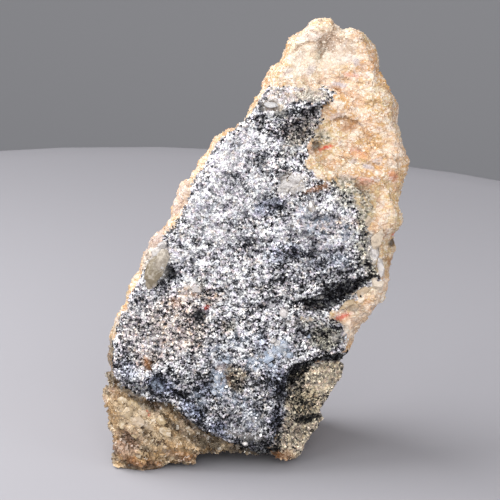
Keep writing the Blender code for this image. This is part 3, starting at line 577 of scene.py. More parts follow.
# Thin lines along the borders of bent cells
def makeVeinGroup():
    tree, given, made = newGroup(
        "veins", "ShaderNodeTree",
        [("Vector", "NodeSocketVector", None), ("Cells per metre", "NodeSocketFloat", 700.0),
         ("Width", "NodeSocketFloat", 0.06), ("Bend", "NodeSocketFloat", 0.0006)],
        [("Mask", "NodeSocketFloat")],
    )
    swirl = addNode(tree, "ShaderNodeTexNoise",
                    [("Vector", given["Vector"]), ("Scale", given["Cells per metre"]), ("Detail", 2.0)])
    centred = addNode(tree, "ShaderNodeVectorMath", [(0, swirl.outputs["Color"]), (1, (0.5, 0.5, 0.5))],
                      operation="SUBTRACT")
    push = addNode(tree, "ShaderNodeVectorMath", [(0, centred.outputs[0]), ("Scale", given["Bend"])],
                   operation="SCALE")
    bent = addNode(tree, "ShaderNodeVectorMath", [(0, given["Vector"]), (1, push.outputs[0])],
                   operation="ADD")
    cells = addNode(tree, "ShaderNodeTexVoronoi",
                    [("Vector", bent.outputs[0]), ("Scale", given["Cells per metre"])],
                    feature="DISTANCE_TO_EDGE")
    spread = addNode(
        tree, "ShaderNodeMapRange",
        [("Value", cells.outputs["Distance"]), ("From Max", given["Width"]), ("To Min", 1.0),
         ("To Max", 0.0)],
        interpolation_type="SMOOTHSTEP",
    )
    tree.links.new(firstOutput(spread), made["Mask"])
    return tree


grainGroup = makeGrainGroup()
cloudGroup = makeCloudGroup()
veinGroup = makeVeinGroup()


def grainTones(tree, vector, size):
    links = [("Vector", vector), ("Grains per metre", 1.0 / (size * mm))]
    return addNode(tree, "ShaderNodeGroup", links, node_tree=grainGroup).outputs


def cloudMask(tree, vector, size, seed, low, high):
    links = [("Vector", vector), ("Clouds per metre", 1.0 / (size * mm)), ("Seed", seed), ("Low", low),
             ("High", high)]
    return addNode(tree, "ShaderNodeGroup", links, node_tree=cloudGroup).outputs[0]


def veinMask(tree, vector, size, width, bend):
    links = [("Vector", vector), ("Cells per metre", 1.0 / (size * mm)), ("Width", width / size),
             ("Bend", bend * mm)]
    return addNode(tree, "ShaderNodeGroup", links, node_tree=veinGroup).outputs[0]


def attributeOf(tree, name):
    return addNode(tree, "ShaderNodeAttribute", attribute_name=name).outputs["Fac"]


def newMaterial(name, finish):
    material = bpy.data.materials.new(name)
    material.use_nodes = True
    tree = material.node_tree
    shader = tree.nodes["Principled BSDF"].inputs
    for label, value in finish.items():
        shader[label].default_value = value
    return material, tree, shader


# Colours of the rock, then shades that multiply a colour
stoneColours = {
    "cream": (0.495, 0.380, 0.218),
    "orange": (0.50, 0.288, 0.118),
    "pink": (0.57, 0.365, 0.27),
    "white": (0.71, 0.64, 0.56),
    # brown is also painted shade in hollows, cracks and between flakes of host rock
    "violet": (0.42, 0.37, 0.38),
    "brown": (0.24, 0.13, 0.07),
    "line": (0.44, 0.23, 0.10),
    "quartzTan": (0.30, 0.205, 0.118),
    "quartzPale": (0.46, 0.35, 0.235),
    "quartzGold": (0.50, 0.32, 0.155),
    "quartzPink": (0.39, 0.25, 0.19),
    # also painted shade in the quartz's hollows, cavities and crevices
    "quartzDeep": (0.07, 0.04, 0.02),
    "quartzLight": (0.70, 0.55, 0.37),
    "milk": (0.62, 0.59, 0.57),
    "milkTan": (0.60, 0.53, 0.45),
    "rust": (0.31, 0.14, 0.055),
    "red": (0.50, 0.045, 0.02),
    # black is also painted shade where the dark marks lie
    "black": (0.007, 0.008, 0.009),
    "olive": (0.18, 0.172, 0.13),
    # painted glints on grains in dark, shaded places
    "spark": (0.17, 0.18, 0.15),
    "haze": (0.46, 0.54, 0.66),
    "tanShade": (0.92, 0.66, 0.42),
    "oliveShade": (0.68, 0.65, 0.53),
    "umberShade": (0.84, 0.735, 0.55),
    "warmShade": (1.0, 0.83, 0.68),
    "navyShade": (0.62, 0.68, 0.84),
    "violetShade": (0.99, 0.93, 1.0),
    "coldShade": (0.94, 0.965, 1.0),
}


# A colour is a socket or one of the rock's colours by name
def mixColour(tree, amount, a, b, blend="MIX"):
    a, b = ((*stoneColours[c], 1.0) if isinstance(c, str) else c for c in (a, b))
    links = [("Factor", amount), ("A", a), ("B", b)]
    return firstOutput(addNode(tree, "ShaderNodeMix", links, data_type="RGBA", blend_type=blend))


def share(tree, mask, amount):
    return calc(tree, "MULTIPLY", mask, amount)


# Rows of mask, share and colour
def markColour(tree, colour, mask, rows):
    for name, amount, tint in rows:
        colour = mixColour(tree, share(tree, mask[name], amount), colour, tint)
    return colour


# Rows of cloud size, seed, low and high, then share and colour
def cloud(tree, colour, place, rows):
    for *clouds, amount, tint in rows:
        spots = share(tree, cloudMask(tree, place, *clouds), amount)
        colour = mixColour(tree, spots, colour, tint)
    return colour


# Single grains whose tone passes a limit: rows of operation, limit, share and colour
def speckle(tree, colour, tone, rows, where=1.0):
    for operation, limit, amount, tint in rows:
        grains = calc(tree, "MULTIPLY", calc(tree, operation, tone, limit), where)
        colour = mixColour(tree, share(tree, grains, amount), colour, tint)
    return colour


# A pattern turned about the depth and stretched along the layers
def layered(tree, place, turn, stretch):
    return addNode(tree, "ShaderNodeMapping", [("Vector", place), ("Rotation", (0.0, turn, 0.0)),
                                               ("Scale", stretch)]).outputs[0]


orePaint = {
    "tones": (
        (0.0, (0.003, 0.003, 0.004)), (0.12, (0.02, 0.021, 0.027)), (0.30, (0.142, 0.144, 0.160)),
        (0.54, (0.402, 0.398, 0.408)), (0.78, (0.66, 0.66, 0.66)), (1.0, (0.90, 0.90, 0.89)),
    ),
    "cluster": 0.30,          # share of a tone that neighbours have in common
    "contrast": 1.5,
    "lift": 0.08,
    "calm": (0.76, 0.62),     # tone that bright places are drawn to, and how much
    "pitClouds": (0.5, 15.0, 0.58, 0.64),
    "pits": 0.65,
    "darker": (("navy", 0.18), ("umber", -0.08), ("streak", 0.18), ("darkAndShade", 0.12)),
    # grains over this tone keep a painted glint in dark, shaded places
    "glintTone": 0.88,
    "darkAndShade": 0.55,             # share of the contrast that dark places lose
    "darkDrop": 0.17,
    "tanClouds": (0.6, 13.0, 0.54, 0.62),
    "tan": (0.5, 0.3),        # in warm places, then everywhere
    "shadeClouds": (((0.7, 16.0, 0.48, 0.60), "violetShade"), ((1.0, 17.0, 0.48, 0.60), "coldShade")),
    "shades": (("navy", "navyShade"), ("olive", "oliveShade"), ("umber", "umberShade"),
               ("warm", "warmShade")),
    "hazeClouds": (0.7, 18.0, 0.40, 0.56),
    "haze": 0.6,
    "marks": (("milk", 0.65, "milk"), ("rust", 0.75, "rust"), ("red", 1.0, "red")),
}


# Ore colour of a random tone, with the marks of the face on it, painted light and painted shade among them
def oreColour(tree, place, tone, mask):
    look = orePaint
    cluster = share(tree, mask["cluster"], look["cluster"])
    tone = calc(tree, "ADD", share(tree, tone, 1.0 - look["cluster"]), cluster)
    tone = calc(tree, "MULTIPLY_ADD", tone, look["contrast"], 0.5 + look["lift"] - 0.5 * look["contrast"])
    goal, amount = look["calm"]
    # painted light: pale and lit places are drawn towards a light grey tone
    calm = calc(tree, "MULTIPLY", calc(tree, "SUBTRACT", goal, tone), share(tree, mask["paleAndLit"], amount))
    tone = calc(tree, "ADD", tone, calm)
    pits = share(tree, cloudMask(tree, place, *look["pitClouds"]), look["pits"])
    pits = calc(tree, "MULTIPLY", pits, calc(tree, "SUBTRACT", 1.0, mask["paleAndLit"]))
    tone = calc(tree, "SUBTRACT", tone, pits)
    for name, amount in look["darker"]:
        tone = calc(tree, "SUBTRACT", tone, share(tree, mask[name], amount))
    # painted shade: dark places lose contrast and drop towards black, and their brightest grains get painted
    # glints
    darkAndShade = share(tree, mask["darkAndShade"], look["darkAndShade"])
    glints = calc(tree, "MULTIPLY", calc(tree, "GREATER_THAN", tone, look["glintTone"]), darkAndShade)
    kept = calc(tree, "MULTIPLY", tone, calc(tree, "SUBTRACT", 1.0, darkAndShade))
    tone = calc(tree, "SUBTRACT", kept, share(tree, mask["darkAndShade"], look["darkDrop"]))
    colour = mixColour(tree, glints, rampNode(tree, tone, look["tones"]), "spark")
    specks = calc(tree, "MULTIPLY_ADD", mask["warm"], *look["tan"])
    specks = calc(tree, "MULTIPLY", specks, cloudMask(tree, place, *look["tanClouds"]))
    shades = [(specks, "tanShade")]
    shades += [(cloudMask(tree, place, *clouds), tint) for clouds, tint in look["shadeClouds"]]
    shades += [(mask[name], tint) for name, tint in look["shades"]]
    for amount, tint in shades:
        colour = mixColour(tree, amount, colour, tint, "MULTIPLY")
    haze = calc(tree, "MULTIPLY", mask["haze"], cloudMask(tree, place, *look["hazeClouds"]))
    colour = mixColour(tree, share(tree, haze, look["haze"]), colour, "haze")
    return markColour(tree, colour, mask, look["marks"])


# Marks on top of all else, on host rock and quartz: rust, red, and near black where the dark marks paint
# shade
lastMarks = (("rust", 0.8, "rust"), ("red", 1.0, "red"), ("darkAndShade", 0.85, "black"))
hostPaint = {
    "ground": (7.0, 2.0, 0.42, 0.62),
    "groundStains": (("orange", 0.8, "orange"),),
    "clouds": (
        (4.0, 3.0, 0.50, 0.62, 0.5, "pink"), (1.8, 4.0, 0.54, 0.60, 0.6, "white"),
        (2.4, 5.0, 0.60, 0.66, 0.6, "violet"), (1.2, 6.0, 0.60, 0.68, 0.6, "orange"),
        (1.4, 7.0, 0.63, 0.70, 0.6, "brown"),
    ),
    "layers": (-0.25, (0.7, 1.0, 1.3)),
    "flake": 0.9,
    "flakes": (("GREATER_THAN", 0.70, 0.35, "white"), ("LESS_THAN", 0.25, 0.35, "orange")),
    "grains": (("GREATER_THAN", 0.82, 0.60, "white"), ("LESS_THAN", 0.12, 0.50, "brown"),
               ("LESS_THAN", 0.24, 0.40, "pink")),
    # veins are thin dark lines between flakes, partly painted shade; size, width and bend of veins, the
    # clouds that break them, share and colour
    "veins": (
        ((2.8, 0.10, 3.36), (3.0, 21.0, 0.42, 0.58), 0.75, "brown"),
        ((1.2, 0.08, 1.44), (3.0, 22.0, 0.42, 0.58), 0.75, "line"),
    ),
    # brown painted shade in cracks, white on pale patches and as painted light, then violet patches
    "marks": (("crack", 0.7, "brown"), ("paleAndLit", 0.55, "white"), ("violet", 0.9, "violet")),
    "oliveClouds": (0.6, 14.0, 0.45, 0.55),
    "olive": (0.55, 0.35),
    "oliveGrains": (("LESS_THAN", 0.22, 0.7, "black"), ("GREATER_THAN", 0.80, 0.4, "white")),
}


def hostColour(tree, place, tone, mask):
    look = hostPaint
    ground = cloudMask(tree, place, *look["ground"])
    colour = mixColour(tree, ground, "cream", "orange")
    colour = markColour(tree, colour, mask, look["groundStains"])
    colour = cloud(tree, colour, place, look["clouds"])
    flake = grainTones(tree, layered(tree, place, *look["layers"]), look["flake"])["Tone"]
    colour = speckle(tree, colour, flake, look["flakes"])
    colour = speckle(tree, colour, tone, look["grains"])
    for vein, clouds, amount, tint in look["veins"]:
        lines = calc(tree, "MULTIPLY", veinMask(tree, place, *vein), cloudMask(tree, place, *clouds))
        colour = mixColour(tree, share(tree, lines, amount), colour, tint)
    colour = markColour(tree, colour, mask, look["marks"])
    olive = calc(tree, "MULTIPLY_ADD", cloudMask(tree, place, *look["oliveClouds"]), *look["olive"])
    colour = mixColour(tree, calc(tree, "MULTIPLY", mask["olive"], olive), colour, "olive")
    colour = speckle(tree, colour, tone, look["oliveGrains"], mask["olive"])
    return markColour(tree, colour, mask, lastMarks)


quartzPaint = {
    "ground": (2.2, 8.0, 0.40, 0.62),
    # the last cloud paints shade into the quartz's cavities
    "clouds": (
        (3.0, 31.0, 0.50, 0.60, 0.8, "quartzGold"), (3.6, 34.0, 0.50, 0.58, 0.8, "quartzLight"),
        (4.5, 32.0, 0.54, 0.62, 0.8, "quartzPink"), (2.0, 33.0, 0.545, 0.61, 0.9, "quartzDeep"),
    ),
    "layers": (0.62, (0.65, 1.0, 1.2)),
    "lump": 1.1,
    "lumps": (("GREATER_THAN", 0.62, 0.5, "quartzLight"), ("LESS_THAN", 0.40, 0.4, "quartzGold"),
              ("LESS_THAN", 0.24, 0.7, "quartzTan"), ("LESS_THAN", 0.08, 0.6, "quartzDeep")),
    # thin crevice lines, painted dark as shade
    "vein": (2.6, 0.12, 2.0),
    "veins": 0.45,
    "grains": (("GREATER_THAN", 0.88, 0.3, "quartzLight"),),
    # pale quartz on pale patches and as painted light, then pink, gold and olive stains
    "marks": (("paleAndLit", 0.6, "quartzLight"), ("violet", 0.8, "quartzPink"), ("orange", 0.7, "quartzGold"),
               ("olive", 0.35, "olive")),
    "milkClouds": (1.5, 41.0, 0.4, 0.6),
}


def quartzColour(tree, place, tone, mask):
    look = quartzPaint
    ground = cloudMask(tree, place, *look["ground"])
    colour = mixColour(tree, ground, "quartzTan", "quartzPale")
    colour = cloud(tree, colour, place, look["clouds"])
    lump = grainTones(tree, layered(tree, place, *look["layers"]), look["lump"])["Tone"]
    colour = speckle(tree, colour, lump, look["lumps"])
    lines = share(tree, veinMask(tree, place, *look["vein"]), look["veins"])
    colour = mixColour(tree, lines, colour, "quartzDeep")
    colour = speckle(tree, colour, tone, look["grains"])
    colour = markColour(tree, colour, mask, look["marks"])
    milk = cloudMask(tree, place, *look["milkClouds"])
    milk = mixColour(tree, milk, "milk", "milkTan")
    return markColour(tree, mixColour(tree, mask["milk"], colour, milk), mask, lastMarks)


stoneFinish = {
    # turn and stretch of the streaks, then clouds of size, seed, low and high
    "layers": (0.3, (0.55, 1.0, 1.0)),
    "streaks": (2.0, 1.0, 0.49, 0.58),
    "clusters": (0.7, 12.0, 0.40, 0.60),
    "hostGrain": 0.36,
    "oreGrain": 0.24,
    # painted shade in the hollows between grains: where it starts, and its share on host rock
    "hollowShadeFrom": 0.70,         # where hollows between grains start to darken
    "hostHollowShade": 0.6,
    "finish": {"Specular IOR Level": 0.3},
    "roughness": 0.60,
    "quartzRoughness": 0.30,
    "wrinkle": (0.55, 3.0),   # size and detail
    "bump": (0.6, 0.00025),   # strength and depth in metres
}


def allMasks(tree, place):
    mask = {name: attributeOf(tree, name) for name in ("ore", "block", "umber", "crack", "hollowShade", *marks)}
    slanted = layered(tree, place, *stoneFinish["layers"])
    mask["streak"] = cloudMask(tree, slanted, *stoneFinish["streaks"])
    mask["cluster"] = cloudMask(tree, slanted, *stoneFinish["clusters"])
    return mask


def wrinkle(tree, shader, place, look, height=0.0):
    size, detail = look["wrinkle"]
    wrinkles = addNode(tree, "ShaderNodeTexNoise",
                       [("Vector", place), ("Scale", 1.0 / (size * mm)), ("Detail", detail)])
    strength, depth = look["bump"]
    bump = addNode(tree, "ShaderNodeBump", [("Height", calc(tree, "ADD", height, wrinkles.outputs[0])),
                                            ("Strength", strength), ("Distance", depth)])
    tree.links.new(bump.outputs[0], shader["Normal"])


def stoneMaterial():
    look = stoneFinish
    material, tree, shader = newMaterial("stone", look["finish"])
    place = addNode(tree, "ShaderNodeTexCoord").outputs["Object"]
    mask = allMasks(tree, place)
    grain = grainTones(tree, place, look["hostGrain"])
    oreTone = grainTones(tree, place, look["oreGrain"])["Tone"]
    # painted shade in the hollows between grains: brown on host rock, near black on quartz
    shadeInHollows = firstOutput(addNode(tree, "ShaderNodeMapRange", [("Value", mask["hollowShade"]),
                                                            ("From Min", look["hollowShadeFrom"])]))
    hostShadeInHollows = share(tree, shadeInHollows, look["hostHollowShade"])
    host = mixColour(tree, hostShadeInHollows, hostColour(tree, place, grain["Tone"], mask), "brown")
    quartz = mixColour(tree, shadeInHollows, quartzColour(tree, place, grain["Tone"], mask), "quartzDeep")
    colour = mixColour(tree, mask["ore"], host, oreColour(tree, place, oreTone, mask))
    colour = mixColour(tree, calc(tree, "MAXIMUM", mask["block"], mask["milk"]), colour, quartz)
    tree.links.new(colour, shader["Base Color"])
    rough = addNode(tree, "ShaderNodeMapRange", [("Value", mask["block"]), ("To Min", look["roughness"]),
                                                 ("To Max", look["quartzRoughness"])])
    tree.links.new(firstOutput(rough), shader["Roughness"])
    wrinkle(tree, shader, place, look, grain["Rim"])
    return material


# Chips scattered on a surface where a named attribute lets them
def makeScatterGroup():
    tree, given, made = newGroup(
        "scatter", "GeometryNodeTree",
        [("Surface", "NodeSocketObject", None), ("Where", "NodeSocketString", ""),
         ("Spacing", "NodeSocketFloat", 0.0003), ("Density", "NodeSocketFloat", 1e7),
         ("Smallest", "NodeSocketVector", (0.0002, 0.0002, 0.0002)),
         ("Largest", "NodeSocketVector", (0.0005, 0.0005, 0.0005)),
         ("Tilt", "NodeSocketFloat", math.pi), ("Lift", "NodeSocketFloat", 0.0),
         ("Seed", "NodeSocketInt", 1), ("Material", "NodeSocketMaterial", None)],
        [("Geometry", "NodeSocketGeometry")],
    )
    surface = addNode(tree, "GeometryNodeObjectInfo", [("Object", given["Surface"])])
    where = addNode(tree, "GeometryNodeInputNamedAttribute", [("Name", given["Where"])], data_type="FLOAT")
    spots = addNode(
        tree, "GeometryNodeDistributePointsOnFaces",
        [("Mesh", surface.outputs["Geometry"]), ("Distance Min", given["Spacing"]),
         ("Density Max", given["Density"]), ("Density Factor", firstOutput(where)), ("Seed", given["Seed"])],
        distribute_method="POISSON",
    )
    swings = []
    for side in (-1.0, 1.0):
        swing = calc(tree, "MULTIPLY", given["Tilt"], side)
        swings.append(addNode(tree, "ShaderNodeCombineXYZ", [(0, swing), (1, swing), (2, swing)]).outputs[0])
    turn = addNode(tree, "FunctionNodeRandomValue",
                   [("Min", swings[0]), ("Max", swings[1]), ("Seed", given["Seed"])],
                   data_type="FLOAT_VECTOR")
    turned = addNode(tree, "FunctionNodeEulerToRotation", [(0, firstOutput(turn))])
    aim = addNode(tree, "FunctionNodeRotateRotation",
                  [("Rotation", spots.outputs["Rotation"]), ("Rotate By", turned.outputs[0])],
                  rotation_space="LOCAL")
    size = addNode(tree, "FunctionNodeRandomValue",
                   [("Min", given["Smallest"]), ("Max", given["Largest"]), ("Seed", given["Seed"])],
                   data_type="FLOAT_VECTOR")
    chip = addNode(tree, "GeometryNodeMeshCube", [("Size", (1.0, 1.0, 1.0))])
    raised = addNode(tree, "ShaderNodeVectorMath", [(0, spots.outputs["Normal"]), ("Scale", given["Lift"])],
                     operation="SCALE")
    lifted = addNode(tree, "GeometryNodeSetPosition",
                     [("Geometry", spots.outputs["Points"]), ("Offset", raised.outputs[0])])
    chips = addNode(
        tree, "GeometryNodeInstanceOnPoints",
        [("Points", lifted.outputs[0]), ("Instance", chip.outputs["Mesh"]), ("Rotation", aim.outputs[0]),
         ("Scale", firstOutput(size))],
    )
    tint = addNode(tree, "FunctionNodeRandomValue", [("Seed", given["Seed"])], data_type="FLOAT")
    kept = addNode(
        tree, "GeometryNodeStoreNamedAttribute",
        [("Geometry", chips.outputs[0]), ("Name", "tint"), ("Value", firstOutput(tint))],
        data_type="FLOAT", domain="INSTANCE",
    )
    real = addNode(tree, "GeometryNodeRealizeInstances", [("Geometry", kept.outputs[0])])
    painted = addNode(tree, "GeometryNodeSetMaterial",
                      [("Geometry", real.outputs[0]), ("Material", given["Material"])])
    tree.links.new(painted.outputs[0], made["Geometry"])
    return tree


scatterGroup = makeScatterGroup()


def scatter(name, surface, material, settings):
    item = newObject(name, bpy.data.meshes.new(name))
    step = item.modifiers.new("Scatter", "NODES")
    step.node_group = scatterGroup
    values = {"Surface": surface, "Material": material, **settings}
    for socket in scatterGroup.interface.items_tree:
        if socket.in_out == "INPUT" and socket.name in values:
            step[socket.identifier] = values[socket.name]
    bakedMesh(item)
    item.data.materials.clear()
    item.data.materials.append(material)
    item.data.calc_loop_triangles()
    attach(item, "root")
    print(name + ": triangles", len(item.data.loop_triangles))


def grainMaterial(name, colourOf, settings):
    material, tree, shader = newMaterial(name, settings["finish"])
    place = addNode(tree, "ShaderNodeTexCoord").outputs["Object"]
    tint = attributeOf(tree, "tint")
    tree.links.new(colourOf(tree, place, tint, allMasks(tree, place)), shader["Base Color"])
    return material


rock.data.materials.append(stoneMaterial())
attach(rock, "root")
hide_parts("specimen")
print("rock: material done")

hostFlakes = {
    "Where": "hostGrains", "Spacing": 0.00052, "Density": 1.0e7, "Smallest": (0.00015, 0.00012, 0.00006),
    "Largest": (0.00060, 0.00044, 0.00012), "Tilt": 0.30, "Lift": 0.0, "Seed": 5,
    "finish": {"Roughness": 0.5},
}
scatter("hostFlakes", rock, grainMaterial("hostFlake", hostColour, hostFlakes), hostFlakes)

oreGrains = {
    "Where": "oreGrains", "Spacing": 0.00026, "Density": 2.0e7, "Smallest": (0.00016, 0.00016, 0.00016),
    "Largest": (0.00046, 0.00046, 0.00046), "Tilt": math.pi, "Lift": 0.0, "Seed": 3,
    "finish": {"Metallic": 0.25, "Roughness": 0.35, "Specular IOR Level": 0.2},
}
oreSpecks = {
    **oreGrains, "Smallest": (0.00010, 0.00010, 0.00010), "Largest": (0.00030, 0.00030, 0.00030),
    "Lift": 0.00004, "Seed": 13,
}
oreMaterial = grainMaterial("oreGrain", oreColour, oreGrains)
scatter("oreGrains", rock, oreMaterial, oreGrains)
scatter("oreSpecks", rock, oreMaterial, oreSpecks)

quartzGrains = {
    "Where": "quartzGrains", "Spacing": 0.00042, "Density": 2.0e7, "Smallest": (0.00020, 0.00020, 0.00020),
    "Largest": (0.00085, 0.00070, 0.00055), "Tilt": math.pi, "Lift": -0.00010, "Seed": 7,
    "finish": {"Roughness": 0.22, "IOR": 1.54, "Transmission Weight": 0.40},
}
scatter("quartzGrains", rock, grainMaterial("quartzGrain", quartzColour, quartzGrains), quartzGrains)

crystals = {
    "finish": {"Roughness": 0.28, "Transmission Weight": 0.25},
    "bite": 0.46,             # share of the depth that is sunk in the rock
    "seat": (0.5, 10),        # reach in mm and percentile of the depths that seat a lump
    "seed": 9,
    "clouds": ((0.9, 51.0, 0.52, 0.62, 0.35, "white"), (0.7, 52.0, 0.52, 0.62, 0.35, "quartzDeep")),
    "wrinkle": (0.4, 2.0),
    "bump": (0.5, 0.0002),
    # across, up, half width, half height, half depth, turn, corners, tint
    "lumps": (
        (4.8, 27.7, 0.80, 0.85, 1.3, 0, 46, 0.0), (-1.7, 5.3, 0.60, 0.54, 1.0, 0, 40, 0.0),
        # the lens is dark gold below, with grey lumps on its top painted as its highlight
        (-16.9, 34.9, 1.6, 2.9, 0.6, -22, 40, 1.0), (-15.5, 38.9, 1.1, 0.9, 0.7, 30, 20, 0.20),
        (-17.5, 32.8, 1.1, 1.4, 0.5, -10, 20, 0.97), (-15.7, 36.6, 1.2, 2.1, 0.8, -18, 28, 0.9),
        (-16.4, 37.6, 1.1, 1.3, 0.6, 10, 18, 0.2), (4.2, 21.8, 1.3, 1.1, 0.9, -10, 18, 0.30),
        (2.3, 20.0, 1.1, 0.9, 0.8, 30, 16, 0.5), (3.6, 22.6, 0.7, 0.6, 1.0, 20, 12, 0.22),
        (5.0, 22.4, 0.6, 0.7, 0.9, -20, 12, 0.34), (4.9, 20.9, 0.7, 0.5, 0.9, 30, 12, 0.28),
        (3.3, 21.0, 0.6, 0.6, 0.9, 60, 12, 0.4), (1.6, 20.9, 0.5, 0.5, 0.7, 0, 12, 0.44),
        (2.6, 18.9, 0.6, 0.5, 0.7, 0, 12, 0.5), (5.7, 20.6, 0.8, 0.7, 0.8, 0, 16, 0.45),
        (3.0, 23.0, 0.8, 0.6, 0.7, 30, 14, 0.2), (5.2, 49.6, 1.6, 1.3, 0.30, 0, 22, 0.16),
        (6.9, 48.9, 1.6, 1.1, 0.30, 20, 22, 0.18), (6.7, 50.4, 1.3, 1.0, 0.30, 0, 20, 0.14),
        (4.6, 48.5, 1.1, 0.9, 0.30, 0, 18, 0.2), (5.9, 49.4, 1.2, 1.0, 0.42, 20, 20, 0.12),
        (5.0, 50.7, 0.9, 0.5, 0.35, 30, 14, 0.1), (9.4, 45.6, 0.55, 1.1, 0.9, 8, 16, 0.0),
        (-1.2, 9.8, 0.7, 0.26, 0.9, 20, 16, 0.24), (-2.0, 9.1, 0.7, 0.26, 0.9, 65, 16, 0.24),
        (-2.0, 8.0, 0.7, 0.26, 0.9, 110, 16, 0.24), (-1.3, 7.2, 0.7, 0.26, 0.9, 155, 16, 0.24),
        (-0.2, 7.2, 0.7, 0.26, 0.9, 20, 16, 0.24), (0.6, 7.9, 0.7, 0.26, 0.9, 65, 16, 0.24),
        (0.6, 9.0, 0.7, 0.26, 0.9, 110, 16, 0.24), (1.3, 10.4, 0.9, 0.24, 0.9, 60, 16, 0.2),
        (20.5, 40.3, 1.1, 2.1, 0.8, -12, 14, 0.66), (19.9, 37.6, 0.9, 1.6, 0.7, 8, 14, 0.04),
        (21.0, 35.4, 0.8, 1.9, 0.7, 4, 14, 0.08), (19.0, 43.2, 0.9, 1.2, 0.6, 20, 12, 0.68),
        (15.4, 29.0, 1.7, 0.7, 0.5, 30, 16, 0.76), (18.0, 30.9, 1.8, 0.9, 0.6, 34, 16, 0.72),
        (20.6, 32.6, 1.1, 1.5, 0.7, 10, 14, 0.62), (16.6, 28.4, 1.0, 0.8, 0.6, 10, 12, 0.72),
        (-6.4, 16.8, 0.6, 0.8, 0.8, 0, 12, 0.4), (-5.0, 19.4, 0.8, 0.5, 0.7, 0, 12, 0.4),
        (-7.0, 14.2, 0.6, 0.6, 0.7, 0, 12, 0.38), (1.0, 19.4, 0.7, 0.5, 0.7, 10, 12, 0.42),
        (9.0, 23.6, 0.6, 0.5, 0.6, 0, 12, 0.5), (-9.8, 31.8, 1.1, 0.7, 0.8, 0, 14, 0.1),
        (-20.2, 8.8, 1.6, 1.3, 0.36, 20, 26, 0.72), (-16.8, 5.9, 1.4, 1.0, 0.34, -10, 24, 0.77),
        (-22.4, 12.4, 1.1, 0.8, 0.28, -30, 20, 0.78), (-20.6, 11.8, 1.3, 0.8, 0.26, -30, 22, 0.80),
        (-19.0, 10.2, 1.2, 1.0, 0.30, -20, 22, 0.74), (-21.6, 10.6, 1.2, 1.0, 0.30, 10, 20, 0.76),
        (-18.2, 8.2, 1.4, 0.9, 0.30, -35, 22, 0.73), (-20.2, 7.0, 1.3, 0.9, 0.26, -25, 20, 0.79),
        (-16.0, 9.2, 1.0, 0.7, 0.24, -40, 18, 0.80), (-15.2, 7.2, 1.3, 0.8, 0.26, -35, 18, 0.78),
        (-13.2, 5.4, 1.1, 0.6, 0.24, -30, 16, 0.78), (-22.4, 8.4, 0.8, 0.8, 0.24, 0, 14, 0.82),
        (-3.6, 26.6, 0.5, 0.45, 0.6, 0, 12, 0.05), (2.6, 62.6, 1.3, 0.6, 0.5, -8, 20, 0.22),
    ),
    # colours along the tint, from white over blue and gold to grey
    "tones": (
        (0.0, (0.68, 0.64, 0.625)), (0.2, (0.42, 0.395, 0.385)), (0.3, (0.50, 0.54, 0.60)),
        (0.5, (0.32, 0.38, 0.48)), (0.6, (0.66, 0.57, 0.47)), (0.72, (0.46, 0.35, 0.24)),
        (0.8, (0.45, 0.335, 0.19)), (0.9, (0.39, 0.34, 0.28)), (1.0, (0.21, 0.17, 0.115)),
    ),
}


def fromFace(across, up, depth):
    lean = math.radians(stance["lean"])
    y = depth * math.cos(lean) + up * math.sin(lean) - stance["footShift"][1]
    z = up * math.cos(lean) - depth * math.sin(lean)
    return Vector((across - stance["footShift"][0], y, z)) * mm


def makeCrystals():
    face = toFace(readVectors(rock.data.vertices, "co"))
    rng = np.random.default_rng(crystals["seed"])
    reach, nearest = crystals["seat"]
    bm = bmesh.new()
    tints = []
    for across, up, halfWidth, halfHeight, halfDepth, turn, corners, tint in crystals["lumps"]:
        close = np.hypot(face[:, 0] - across, face[:, 1] - up) < reach
        depth = np.percentile(face[close, 2], nearest) + halfDepth * (crystals["bite"] * 2.0 - 1.0)
        angle = math.radians(turn)
        spots = []
        for x, y, z in rng.normal(size=(corners, 3)):
            stretch = 1.0 / math.sqrt(x * x + y * y + z * z)
            x, y, z = x * stretch * halfWidth, y * stretch * halfDepth, z * stretch * halfHeight
            side = x * math.cos(angle) - z * math.sin(angle)
            rise = x * math.sin(angle) + z * math.cos(angle)
            spots.append(bm.verts.new(fromFace(across + side, up + rise, depth + y)))
        hull = bmesh.ops.convex_hull(bm, input=spots)
        inner = hull["geom_interior"] + hull["geom_unused"]
        spare = {v for v in inner if isinstance(v, bmesh.types.BMVert)}
        tints += [tint] * (corners - len(spare))
        bmesh.ops.delete(bm, geom=list(spare), context="VERTS")
    bmesh.ops.recalc_face_normals(bm, faces=bm.faces)
    mesh = bpy.data.meshes.new("crystals")
    bm.to_mesh(mesh)
    bm.free()
    addAttribute(mesh, "tint", np.array(tints))
    material, tree, shader = newMaterial("crystal", crystals["finish"])
    place = addNode(tree, "ShaderNodeTexCoord").outputs["Object"]
    colour = rampNode(tree, attributeOf(tree, "tint"), crystals["tones"])
    tree.links.new(cloud(tree, colour, place, crystals["clouds"]), shader["Base Color"])
    wrinkle(tree, shader, place, crystals)
    mesh.materials.append(material)
    item = newObject("crystals", mesh)
    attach(item, "root")
    print("crystals: faces", len(mesh.polygons))


makeCrystals()

